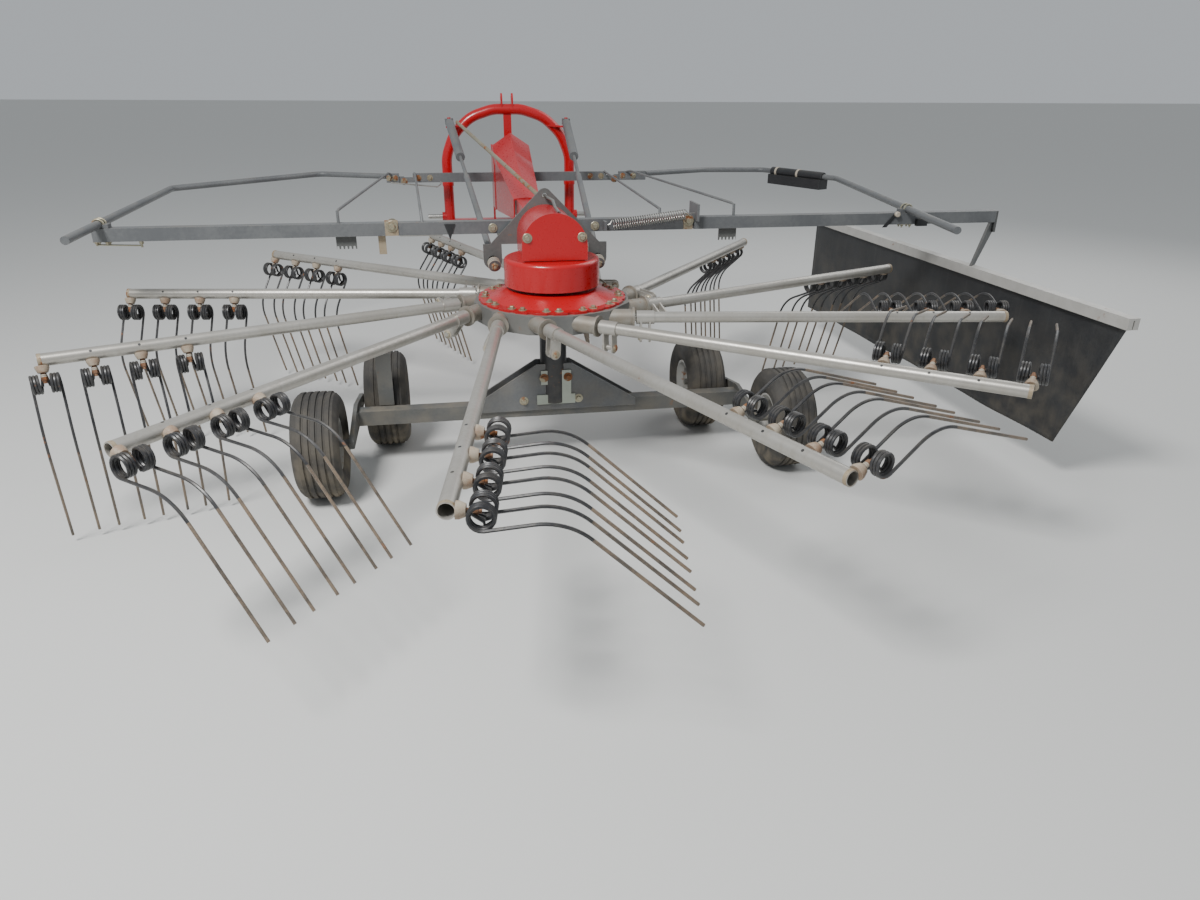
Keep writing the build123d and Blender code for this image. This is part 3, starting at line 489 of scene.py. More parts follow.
@dataclass(frozen=True)
class Finish:
    """A worn coating over metal, rubber or plastic.

    Attributes:
        name: Name of the material.
        base: Main colour, linear.
        faded: Colour of its weathered patches.
        roughness: Roughness of the clean coating.
        metallic: 1 for bare metal, 0 for paint and rubber.
        coat: Weight of the clear coat.
        mottle_scale: Patches for each metre.
        mottle_amount: Strength of the weathered patches.
        wear: Strength of rubbed edges.
        wear_colour: What shows where an edge is rubbed.
        wear_metal: 1 where rubbing bares metal.
        rust: Share of rust, from 0 to 1.
        dust: Strength of dust near the ground.
        dust_top: Strength of dust on faces that look up.
        dust_high: Height at which dust from the ground ends.
        dust_colour: Colour of the dust.
        grain: Bump strength.
        grain_scale: Bump patches for each metre.
        streaks: Strength of streaks that run down.
    """

    name: str
    base: Colour
    faded: Colour
    roughness: float = 0.45
    metallic: float = 0.0
    coat: float = 0.0
    mottle_scale: float = 5.0
    mottle_amount: float = 0.6
    wear: float = 0.6
    wear_colour: Colour = (0.3, 0.29, 0.27)
    wear_metal: float = 1.0
    rust: float = 0.1
    dust: float = 0.35
    dust_top: float = 0.15
    dust_high: float = 0.7
    dust_colour: Colour = (0.26, 0.22, 0.16)
    grain: float = 0.06
    grain_scale: float = 350.0
    streaks: float = 0.0

    def paint(self, wiring: Wiring, mottled: Socket) -> Socket:
        """Adds streaks that run down the mottled colour, where the finish has them.

        Args:
            wiring: Calls that add the material's nodes.
            mottled: The mottled colour.

        Returns:
            The colour of the clean coating.
        """
        if not self.streaks:
            return mottled
        runs = wiring.ramp(wiring.noise(60.0, 5.0, stretch=(1.0, 1.0, 0.06)), low=0.52, high=0.72)
        return wiring.blend(wiring.times(runs, self.streaks), mottled, solid(self.faded))

    @cache
    def material(self) -> bpy.types.Material:
        """Builds the material once.

        Returns:
            The Blender material.
        """
        material = bpy.data.materials.new(self.name)
        material.use_nodes = True
        material.node_tree.nodes.clear()
        wiring = Wiring(material.node_tree)
        output = wiring.node("ShaderNodeOutputMaterial")
        shader = wiring.node("ShaderNodeBsdfPrincipled")
        wiring.link(shader.outputs["BSDF"], output.inputs["Surface"])
        surface = shader.inputs

        mottled = wiring.group(Effects.mottle(), Base=solid(self.base), Faded=solid(self.faded),
                               Scale=self.mottle_scale, Amount=self.mottle_amount)
        edge = wiring.group(Effects.edge_wear(), Width=0.003, Amount=self.wear).outputs["Mask"]
        rust = wiring.group(Effects.rust_spots(), Scale=38.0,
                            Amount=self.rust if self.rust > 0 else -1.0)
        dust = wiring.group(Effects.settled_dust(), Low=0.05, High=self.dust_high,
                            Amount=self.dust, Upward=self.dust_top).outputs["Mask"]
        paint = self.paint(wiring, mottled.outputs["Color"])
        worn = wiring.blend(edge, paint, solid(self.wear_colour))
        rusty = wiring.blend(rust.outputs["Mask"], worn, rust.outputs["Color"])
        wiring.link(wiring.blend(dust, rusty, solid(self.dust_colour)), surface["Base Color"])

        dull = wiring.maths("MAXIMUM", dust, rust.outputs["Mask"])
        uneven = wiring.maths("MULTIPLY_ADD", mottled.outputs["Height"], 0.22,
                              self.roughness - 0.11)
        rough = wiring.maths("ADD", uneven, wiring.times(dull, 0.45), clamp=True)
        wiring.link(rough, surface["Roughness"])
        bare = wiring.maths("SUBTRACT", 1.0, dull, clamp=True)
        if self.metallic > 0:
            wiring.link(wiring.times(bare, self.metallic), surface["Metallic"])
        elif self.wear > 0 and self.wear_metal > 0:
            shine = wiring.times(edge, self.wear_metal * 0.8)
            wiring.link(wiring.times(shine, bare), surface["Metallic"])
        if self.coat > 0:
            wiring.link(wiring.times(bare, self.coat), surface["Coat Weight"])
            surface["Coat Roughness"].default_value = 0.12

        bump = wiring.node("ShaderNodeBump")
        bump.inputs["Strength"].default_value = self.grain
        bump.inputs["Distance"].default_value = 0.002
        pits = wiring.noise(self.grain_scale, detail=3.0)
        crust = wiring.times(rust.outputs["Mask"], 0.8)
        wiring.link(wiring.maths("ADD", pits, crust), bump.inputs["Height"])
        wiring.link(bump.outputs["Normal"], surface["Normal"])
        return material


GLOSS_RED = Finish(
    "gloss_red", (0.44, 0.003, 0.007), (0.38, 0.005, 0.008), roughness=0.3, coat=0.3,
    mottle_amount=0.3, wear=0.2, rust=0.0, dust=0.05, dust_top=0.0)
GUARD_GREY = Finish(
    "guard_grey", (0.098, 0.103, 0.108), (0.16, 0.165, 0.165), roughness=0.46, rust=0.05,
    wear=0.8, dust_top=0.2, streaks=0.12)
FRAME_GREY = Finish(
    "frame_grey", (0.085, 0.088, 0.085), (0.14, 0.14, 0.132), roughness=0.48, wear=0.7,
    dust=0.45, dust_top=0.25, dust_high=0.55)
ARM_STEEL = Finish(
    "arm_steel", (0.46, 0.445, 0.41), (0.36, 0.335, 0.29), roughness=0.36, metallic=0.6,
    rust=0.05, wear_colour=(0.25, 0.17, 0.11), wear_metal=0.0, dust=0.1, dust_top=0.06,
    streaks=0.4)
CARRIER_GREY = Finish(
    "carrier_grey", (0.115, 0.116, 0.112), (0.17, 0.165, 0.15), roughness=0.5, rust=0.06,
    wear=0.7, dust_top=0.2)
COLLAR_STEEL = Finish(
    "collar_steel", (0.3, 0.285, 0.25), (0.24, 0.19, 0.14), metallic=0.45, mottle_scale=25.0)
SPRING_BLACK = Finish(
    "spring_black", (0.016, 0.017, 0.02), (0.05, 0.05, 0.052), roughness=0.36, wear=0.5,
    wear_colour=(0.2, 0.18, 0.15), dust=0.5, dust_high=0.45)
TINE_WORN = Finish(
    "tine_worn", (0.07, 0.06, 0.05), (0.25, 0.18, 0.12), roughness=0.42, wear=0.4,
    mottle_scale=12.0, mottle_amount=0.8, dust=0.45, dust_high=0.35)
CASTING_CREAM = Finish(
    "casting_cream", (0.4, 0.35, 0.27), (0.24, 0.13, 0.075), roughness=0.6, rust=0.12,
    mottle_scale=24.0, mottle_amount=0.8, wear=0.4, wear_metal=0.0)
CREAM_WASHER = Finish(
    "cream_washer", (0.45, 0.4, 0.32), (0.36, 0.31, 0.24), roughness=0.5, rust=0.08, wear=0.3)
NUT_RUSTY = Finish(
    "nut_rusty", (0.2, 0.09, 0.045), (0.32, 0.2, 0.12), roughness=0.6, metallic=0.3, rust=0.25,
    mottle_scale=40.0, wear=0.3)
PLATE_TAN = Finish(
    "plate_tan", (0.36, 0.3, 0.21), (0.28, 0.2, 0.12), roughness=0.5, metallic=0.3, rust=0.18,
    wear=0.4, mottle_scale=15.0)
BRACKET_PALE = Finish(
    "bracket_pale", (0.36, 0.4, 0.34), (0.45, 0.47, 0.42), roughness=0.42, metallic=0.4,
    rust=0.06, wear=0.3, dust=0.3)
PLASTIC_BLACK = Finish(
    "plastic_black", (0.014, 0.015, 0.017), (0.03, 0.031, 0.032), roughness=0.42, rust=0.0,
    wear=0.2, wear_colour=(0.08, 0.075, 0.07), wear_metal=0.0, dust=0.1, dust_top=0.12)
# Darker grey for the post over the curtain rail: painted shade for the shadow the post stands in.
SHADED_POST_GREY = Finish("post_painted_shade", (0.06, 0.063, 0.064), (0.1, 0.1, 0.098), rust=0.05)
TYRE_RUBBER = Finish(
    "tyre_rubber_worn", (0.03, 0.029, 0.028), (0.075, 0.07, 0.062), roughness=0.78, rust=0.0,
    wear=0.5, wear_colour=(0.1, 0.095, 0.085), wear_metal=0.0, dust=0.75, dust_high=0.4,
    grain=0.2)
RIM_GREY = Finish(
    "rim_grey", (0.3, 0.3, 0.29), (0.4, 0.39, 0.36), roughness=0.5, rust=0.15, dust=0.6,
    dust_high=0.4)
ZINC_TAN = Finish(
    "zinc_tan", (0.42, 0.4, 0.3), (0.33, 0.25, 0.15), roughness=0.42, metallic=0.8, rust=0.22,
    wear=0.3)
BRIGHT_STEEL = Finish(
    "bright_steel", (0.5, 0.49, 0.46), (0.36, 0.34, 0.31), roughness=0.32, metallic=1.0,
    wear=0.2)
RAIL_GALVANISED = Finish(
    "rail_galvanised", (0.46, 0.45, 0.42), (0.55, 0.54, 0.51), metallic=0.35, rust=0.06,
    wear=0.4, mottle_scale=18.0)
CURTAIN_BLACK = Finish(
    "curtain_black", (0.013, 0.014, 0.016), (0.035, 0.036, 0.037), roughness=0.5, rust=0.0,
    wear=0.25, wear_colour=(0.09, 0.085, 0.075), wear_metal=0.0, dust=0.3, dust_top=0.1,
    grain=0.12, grain_scale=220.0, streaks=0.35)

NODE_FINISHES: dict[Finish, tuple[str, ...]] = {
    GLOSS_RED: ("rotor_disc", "gearbox", "tower", "headstock", "gearbox_cover", "main_beam"),
    GUARD_GREY: ("guard_bars", "axle_gussets", "guard_left", "guard_right",
                 "strut_barrel_left", "strut_rod_left", "strut_barrel_right", "strut_rod_right"),
    FRAME_GREY: ("bar_yoke", "axle_beam", "bogie_beams", "head_plate", "parking_stand"),
    SPRING_BLACK: ("column",),
    PLASTIC_BLACK: ("stowage_box",),
    BRIGHT_STEEL: ("hitch_pins", "pto_shaft"),
    ZINC_TAN: ("height_crank",),
}


class MeshDraft:
    """Mesh that grows piece by piece and ends as one object on one body."""

    def __init__(self, name: str) -> None:
        """Starts an empty mesh.

        Args:
            name: Name of the piece.
        """
        self.name = name
        self.mesh = bmesh.new()
        self.finishes: list[Finish] = []

    def number(self, finish: Finish) -> int:
        """Gives a finish its number on this piece.

        Args:
            finish: The finish.

        Returns:
            Its number, a new one where the piece had none of it yet.
        """
        if finish not in self.finishes:
            self.finishes.append(finish)
        return self.finishes.index(finish)

    def ring(self, centre: Vector, across: Vector, up: Vector, radius: float,
             sides: int) -> list[bmesh.types.BMVert]:
        """Adds a ring of points.

        Args:
            centre: Middle of the ring.
            across: Unit vector to the first point.
            up: Unit vector a quarter turn on.
            radius: Radius of the ring.
            sides: Number of points.

        Returns:
            The points in order.
        """
        step = 2 * math.pi / sides
        ways = [across * math.cos(step * i) + up * math.sin(step * i) for i in range(sides)]
        return [self.mesh.verts.new(centre + way * radius) for way in ways]

    def skin(self, rows: Sequence[list[bmesh.types.BMVert]], finish: Finish,
             closed: bool = False, around: bool = True) -> None:
        """Joins rows of equal size with quads.

        Args:
            rows: Rows of points in order.
            finish: Finish of the faces.
            closed: Join the last row to the first as well.
            around: The rows are rings, not open lines.
        """
        number = self.number(finish)
        pairs = list(zip(rows, rows[1:]))
        if closed:
            pairs.append((rows[-1], rows[0]))
        for first, second in pairs:
            size = len(first)
            for i in range(size if around else size - 1):
                j = (i + 1) % size
                face = self.mesh.faces.new((first[i], first[j], second[j], second[i]))
                face.material_index = number

    def close_ends(self, rings: Sequence[list[bmesh.types.BMVert]], finish: Finish) -> None:
        """Closes the first and the last ring with one face each."""
        for ring in (list(reversed(rings[0])), rings[-1]):
            self.mesh.faces.new(ring).material_index = self.number(finish)

    def tube(self, path: Sequence[Vector], radius: float, sides: int, finish: Finish) -> None:
        """Adds a round wire or tube along points.

        Args:
            path: Points of the centreline.
            radius: Radius of the wire.
            sides: Sides of its section.
            finish: Its finish.
        """
        rings = []
        across = None
        for i, point in enumerate(path):
            before = path[max(i - 1, 0)]
            after = path[min(i + 1, len(path) - 1)]
            way = (after - before).normalized()
            if across is None:
                across = way.cross(UP if abs(way.z) < 0.9 else RIGHT)
            across = (across - way * across.dot(way)).normalized()
            rings.append(self.ring(point, across, way.cross(across), radius, sides))
        self.skin(rings, finish)
        self.close_ends(rings, finish)

    def lathe(self, place: Matrix, profile: Sequence[Pair], segments: int, finish: Finish,
              closed: bool = False) -> None:
        """Turns a profile about the local Z axis.

        Args:
            place: From local to stored frame.
            profile: Radius and height of each point.
            segments: Steps round the axis.
            finish: Its finish.
            closed: The profile is a loop; otherwise both ends are capped.
        """
        across, up, outward = (place.col[i].to_3d() for i in range(3))
        rings = [self.ring(place.translation + outward * height, across, up, radius, segments)
                 for radius, height in profile]
        self.skin(rings, finish, closed)
        if not closed:
            self.close_ends(rings, finish)

    def disc(self, place: Matrix, radius: float, low: float, high: float, segments: int,
             finish: Finish) -> None:
        """Adds a plain round disc, stud or washer between two heights."""
        self.lathe(place, ((radius, low), (radius, high)), segments, finish)

    def collar(self, place: Matrix, radii: Pair, heights: Pair, chamfer: float, segments: int,
               finish: Finish, closed: bool = False) -> None:
        """Adds a raised collar with chamfered edges.

        Args:
            place: From local to stored frame.
            radii: Radius at its ends and over its face.
            heights: Height of both ends.
            chamfer: Height of the chamfers.
            segments: Steps round the axis.
            finish: Its finish.
            closed: It is a ring round something; otherwise it is solid.
        """
        (inner, outer), (low, high) = radii, heights
        profile = ((inner, low), (outer, low + chamfer), (outer, high - chamfer), (inner, high))
        self.lathe(place, profile, segments, finish, closed)

    def prism(self, place: Matrix, outline: Sequence[Pair], depth: float,
              finish: Finish) -> None:
        """Raises a flat outline along the local Z axis.

        Args:
            place: From local to stored frame.
            outline: Corners in order, against the clock.
            depth: Height of the solid.
            finish: Its finish.
        """
        ends = [[self.mesh.verts.new(place @ Vector((x, y, height))) for x, y in outline]
                for height in (0, depth)]
        self.skin(ends, finish)
        self.close_ends(ends, finish)

    def slab(self, low: Vector, high: Vector, finish: Finish) -> None:
        """Adds a box along the frame's axes between two corners."""
        corners = ((low.x, low.y), (high.x, low.y), (high.x, high.y), (low.x, high.y))
        self.prism(Matrix.Translation((0, 0, low.z)), corners, high.z - low.z, finish)

    def bolt(self, place: Matrix, size: Hexagon, finish: Finish, washer: bool = True,
             stem: float = 0.0) -> None:
        """Adds a hexagon head or nut with its washer.

        Args:
            place: Seat of the head, Z outward.
            size: Size of the hexagon.
            finish: Its finish.
            washer: Put a washer under it.
            stem: Length of thread that stands out of a nut.
        """
        across, height = size.value
        base = 0.0
        if washer:
            base = across * 0.12
            profile = ((across * 0.98, 0), (across, base * 0.6), (across * 0.94, base))
            self.lathe(place, profile, 16, finish)
        corner = across / math.sqrt(3)
        lifted = place @ Matrix.Translation((0, 0, base))
        profile = ((corner, 0), (corner, height * 0.8), (corner * 0.86, height))
        self.lathe(lifted, profile, 6, finish)
        if stem > 0:
            thread, end = corner * 0.5, height + stem
            profile = ((thread, height * 0.5), (thread, end), (corner * 0.4, end + 0.001))
            self.lathe(lifted, profile, 10, finish)

    def mount(self, body: str, smooth: float = 35.0) -> bpy.types.Object:
        """Turns the draft into a piece that rides on a body.

        Args:
            body: Body that the piece rides on.
            smooth: Angle in degrees up to which edges shade smooth.

        Returns:
            The finished object.
        """
        bmesh.ops.recalc_face_normals(self.mesh, faces=self.mesh.faces)
        for face in self.mesh.faces:
            face.smooth = True
        limit = math.radians(smooth)
        for edge in self.mesh.edges:
            edge.smooth = not (len(edge.link_faces) == 2 and edge.calc_face_angle(0) > limit)
        data = bpy.data.meshes.new(self.name)
        self.mesh.to_mesh(data)
        self.mesh.free()
        for finish in self.finishes:
            data.materials.append(finish.material())
        piece = bpy.data.objects.new(self.name, data)
        bpy.context.scene.collection.objects.link(piece)
        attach(piece, body)
        log.info("%s: %d faces on %s", self.name, len(data.polygons), body)
        return piece


def dress_node(name: str, finish: Finish, smooth: float = 30.0) -> None:
    """Gives a solid node its finish and smooth shading up to an angle.

    Args:
        name: Name of the node.
        finish: Its finish.
        smooth: Angle in degrees up to which edges shade smooth.
    """
    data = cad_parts[name].data
    data.materials.clear()
    data.materials.append(finish.material())
    data.shade_smooth()
    data.set_sharp_from_angle(angle=math.radians(smooth))
    log.info("%s: dressed in %s", name, finish.name)


def dress_part(name: str, finish: Finish, chosen: Callable[[Vector], bool]) -> None:
    """Gives some faces of a dressed node another finish.

    Args:
        name: Name of the node.
        finish: The other finish.
        chosen: Says whether a face with this middle gets it.
    """
    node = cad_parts[name]
    node.data.materials.append(finish.material())
    for face in node.data.polygons:
        if chosen(node.matrix_world @ face.center):
            face.material_index = 1


@dataclass
class TineArms:
    """The twelve rolling arms with their sprung double tines.

    Attributes:
        axis: The rotor's axis.
        phase: Direction of the first arm, in degrees.
        offset: From the rotor's axis to the line of an arm.
        height: Height of the arms.
        tip_radius: Radius of the arms' outer ends.
        tube_radius: Radius of an arm.
        raised: Degrees that each arm is rolled up by the cam.
        tines: Number of double tines on an arm.
        pitch: From one double tine to the next.
        end_inset: From the arm's tip to the outermost double tine.
        wire: Radius of the spring wire.
        coil_radius: Outer radius of a coil.
        coil_inner: From a pair's middle to the coil's near face.
        leg_offset: From a pair's middle to a leg's.
        coil_turns: Turns of a coil.
        coil_drop: From the arm's axis to the coil's.
        coil_angle: Direction of the coil's axis from the arm's, in degrees.
        leg_angle: Direction in which a leg leaves its coil.
        leg_upper: Straight part before the bend.
        leg_bend: Degrees of the bend.
        leg_bend_radius: Radius of the bend.
        leg_lower: Straight part after the bend.
        cup: Profile of the cast cup that seats a double tine.
        stud: Radius of the stud in it, and the heights between which it shows.
        washer: Radius of a washer on the stud.
        washers: Heights between which each washer lies.
        nut_seat: Height of the nut's seat.
        plug: Radius and height of the plug in the arm's side, and degrees from the cup to it.
        lever: Length of the forked lever and radius of its pin.
        lever_faces: Reach of the fork's two outer faces.
        end_ring: Heights of the ring at the arm's end, from just inside the tip.
    """

    axis: RotorAxis
    phase: float = -98.3
    offset: float = 0.194
    height: float = 0.652
    tip_radius: float = 1.785
    tube_radius: float = 0.0212
    raised: tuple[int, ...] = (63, 87, 95, 75, 30, 10, 0, 0, 0, 0, 0, 53)
    tines: int = 4
    pitch: float = 0.143
    end_inset: float = 0.008
    wire: float = 0.0046
    coil_radius: float = 0.033
    coil_inner: float = 0.011
    leg_offset: float = 0.0405
    coil_turns: float = 3.0
    coil_drop: float = 0.077
    coil_angle: float = -66.0
    leg_angle: float = -55.0
    leg_upper: float = 0.106
    leg_bend: float = 49.7
    leg_bend_radius: float = 0.155
    leg_lower: float = 0.333
    cup: tuple[Pair, ...] = ((0.021, 0), (0.0205, 0.008), (0.015, 0.022))
    stud: Triple = (0.006, 0.01, 0.056)
    washer: float = 0.009
    washers: tuple[Pair, ...] = ((0.0275, 0.0315), (0.0325, 0.0365))
    nut_seat: float = 0.037
    plug: Triple = (0.0045, 0.0018, 105.0)
    lever: Pair = (0.076, 0.009)
    lever_faces: Pair = (0.340, 0.381)
    end_ring: Pair = (-0.0125, -0.0005)

    @property
    def reach(self) -> float:
        """Length from the point nearest to the rotor's axis to an arm's tip."""
        return math.sqrt(self.tip_radius ** 2 - self.offset ** 2)

    def across(self, number: int, reach: float) -> Matrix:
        """Gives the place across an arm: X trails behind it, Y is up, Z points outward.

        Args:
            number: Number of the arm from 0.
            reach: Distance along the arm.

        Returns:
            The matrix from the arm's local frame.
        """
        roll = math.radians(self.raised[number])
        outward = compass(self.phase + 360 / len(self.raised) * number)
        trailing = UP.cross(outward)
        origin = outward * reach - trailing * self.offset
        x_axis = trailing * math.cos(roll) + UP * math.sin(roll)
        return facing(self.axis.at(origin.x, origin.y, self.height), outward, x_axis)

    def tine_path(self, side: int) -> list[Vector]:
        """Gives the centreline of one tine: inner hook, coil and bent leg.

        Args:
            side: 1 for the outer tine of the pair, -1 for the inner.

        Returns:
            Points in the arm's local frame.
        """
        centre = compass(self.coil_angle) * self.coil_drop
        radius = self.coil_radius - self.wire
        first = math.radians(self.leg_angle - 90 - 360 * self.coil_turns)
        near = self.coil_inner + self.wire * 0.6
        coil = winding(radius, first, self.coil_turns, side * near, side * self.leg_offset, 18)
        hook = compass(math.degrees(first)) * radius * 0.7
        points = [centre * 0.57 + UP * side * near * 0.3, centre + hook + UP * side * near * 0.8]
        points += [centre + point for point in coil]

        way = compass(self.leg_angle)
        inside = way.cross(UP)
        knee = points[-1] + way * self.leg_upper
        points += [points[-1] + way * self.leg_upper * 0.5, knee]
        middle = knee + inside * self.leg_bend_radius
        for i in range(1, 11):
            swept = math.radians(self.leg_bend) * i / 10
            spoke = way * math.sin(swept) - inside * math.cos(swept)
            points.append(middle + spoke * self.leg_bend_radius)
        bend = math.radians(self.leg_bend)
        half = (way * math.cos(bend) + inside * math.sin(bend)) * self.leg_lower * 0.5
        points += [points[-1] + half, points[-1] + half * 2]
        return points

    def add_clamp(self, draft: MeshDraft, across: Matrix) -> None:
        """Adds the cup, stud, washers and nut that hold one double tine.

        Args:
            draft: Mesh that gets them.
            across: Place across the arm at the pair's middle.
        """
        outward = compass(self.coil_angle)
        seat = across @ facing(outward * (self.tube_radius - 0.002), outward, UP)
        draft.lathe(seat, self.cup, 20, CASTING_CREAM)
        draft.disc(seat, *self.stud, 12, NUT_RUSTY)
        for low, high in self.washers:
            draft.disc(seat, self.washer, low, high, 18, CREAM_WASHER)
        nut = seat @ Matrix.Translation(UP * self.nut_seat)
        draft.bolt(nut, Hexagon.NUT_M10, NUT_RUSTY, washer=False)
        radius, height, turn = self.plug
        sideways = compass(self.coil_angle + turn)
        hole = across @ facing(sideways * (self.tube_radius - 0.0015), sideways)
        draft.disc(hole, radius, 0, height, 12, PLASTIC_BLACK)

    def build_tines(self, number: int, label: str) -> None:
        """Builds the wound double tines of one arm with their clamps.

        Args:
            number: Number of the arm from 0.
            label: Number of the arm as node names have it.
        """
        draft = MeshDraft(f"wound_tines_{label}")
        for place in range(self.tines):
            across = self.across(number, self.reach - self.end_inset - place * self.pitch)
            for side in (-1, 1):
                path = [across @ point for point in self.tine_path(side)]
                draft.tube(path[:-2], self.wire, 7, SPRING_BLACK)
                draft.tube(path[-3:], self.wire, 7, TINE_WORN)
            self.add_clamp(draft, across)
        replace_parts(draft.mount(f"arm_{label}"), f"tines_{label}")

    def build_lever_pin(self, number: int, label: str) -> None:
        """Adds the pin's heads and rings on an arm's forked lever, and the ring at its end.

        Args:
            number: Number of the arm from 0.
            label: Number of the arm as node names have it.
        """
        draft = MeshDraft(f"lever_pin_{label}")
        length, radius = self.lever
        head = radius + 0.003
        for reach, way in zip(self.lever_faces, (DOWN, UP)):
            place = self.across(number, reach) @ facing(RIGHT * -length, way)
            draft.disc(place, 0.017, 0, 0.0018, 24, CREAM_WASHER)
            profile = ((head, 0.0018), (head, 0.006), (radius, 0.008))
            draft.lathe(place, profile, 18, ZINC_TAN)
        radii = (self.tube_radius - 0.0005, self.tube_radius + 0.0007)
        draft.collar(self.across(number, self.reach), radii, self.end_ring, 0.0005, 32,
                     PLATE_TAN, closed=True)
        draft.mount(f"arm_{label}")

    def build(self) -> None:
        """Dresses the arms and builds all their tines."""
        for number in range(len(self.raised)):
            label = f"{number + 1:02d}"
            dress_node(f"arm_{label}", ARM_STEEL)
            self.build_tines(number, label)
            self.build_lever_pin(number, label)


@dataclass
class Wheels:
    """The four small wheels of the tandem axle.

    Attributes:
        axis: The rotor's axis.
        diameter: Diameter of a tyre.
        width: Width of a tyre.
        rim_diameter: Diameter of a rim.
        rim_width: Width between the tyre's seats.
        rows: Name, distance from the middle and place along the machine of each row.
        ribs: Number of ribs round the tread.
        groove: Depth of the grooves between them.
        nuts: Number of wheel nuts.
        nut_circle: Radius of the nuts' circle.
        nut_seat: From the wheel's middle to the nuts' seat.
    """

    axis: RotorAxis
    diameter: float = 0.410
    width: float = 0.172
    rim_diameter: float = 0.204
    rim_width: float = 0.136
    rows: tuple[tuple[str, float, float], ...] = (("front", 0.700, 0.245), ("rear", 0.925, -0.245))
    ribs: int = 5
    groove: float = 0.007
    nuts: int = 5
    nut_circle: float = 0.05
    nut_seat: float = 0.012

    def tyre_profile(self) -> list[Pair]:
        """Gives the section of a ribbed tyre.

        Returns:
            Radius and distance from the middle of each point, as a loop.
        """
        outer, inner, half = self.diameter / 2, self.rim_diameter / 2, self.width / 2
        seat = self.rim_width / 2
        wall = [(inner + 0.001, -seat + 0.004), (inner + 0.006, -seat - 0.004),
                (inner + 0.018, -seat - 0.008), (inner + 0.045, -half + 0.001),
                (inner + 0.06, -half), (outer - 0.036, -half + 0.001),
                (outer - 0.022, -half + 0.008), (outer - 0.01, -half + 0.019)]
        tread = half - 0.028
        step = 2 * tread / (self.ribs - 0.3)
        crown = []
        for rib in range(self.ribs):
            left = -tread + rib * step
            right = left + step * 0.7
            shoulder, far = (outer - 0.0045 * abs(x / half) ** 2 for x in (left, right))
            crown += [(shoulder - (self.groove if rib else 0.004), left - 0.001),
                      (shoulder - 0.0008, left + 0.0015),
                      (far - 0.0008, right - 0.0015), (far - self.groove, right + 0.001)]
        return wall + crown + [(radius, -depth) for radius, depth in reversed(wall)]

    def build_wheel(self, side: Side, row: str, distance: float, along: float) -> None:
        """Builds one tyre and its wheel nuts, and dresses its rim.

        Args:
            side: Side of the machine.
            row: Name of the row.
            distance: Distance from the machine's middle.
            along: Place along the machine.
        """
        label = f"{row}_{side.word}"
        body = f"wheel_{label}"
        middle = self.axis.at(side.value * distance, along, self.diameter / 2)
        draft = MeshDraft(f"ribbed_tyre_{label}")
        draft.lathe(facing(middle, RIGHT), self.tyre_profile(), 72, TYRE_RUBBER, closed=True)
        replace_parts(draft.mount(body, 40.0), f"{label}_tyre")
        dress_node(f"{label}_rim", RIM_GREY)
        nuts = MeshDraft(f"wheel_nuts_{label}")
        for i in range(self.nuts):
            spoke = compass(360 * i / self.nuts) * self.nut_circle
            seat = middle + Vector((self.nut_seat, spoke.x, spoke.y))
            nuts.bolt(facing(seat, RIGHT), Hexagon.M10_HIGH, ZINC_TAN, stem=0.004)
        nuts.mount(body)

    def build(self) -> None:
        """Builds all four wheels."""
        for side in Side:
            for row, distance, along in self.rows:
                self.build_wheel(side, row, distance, along)


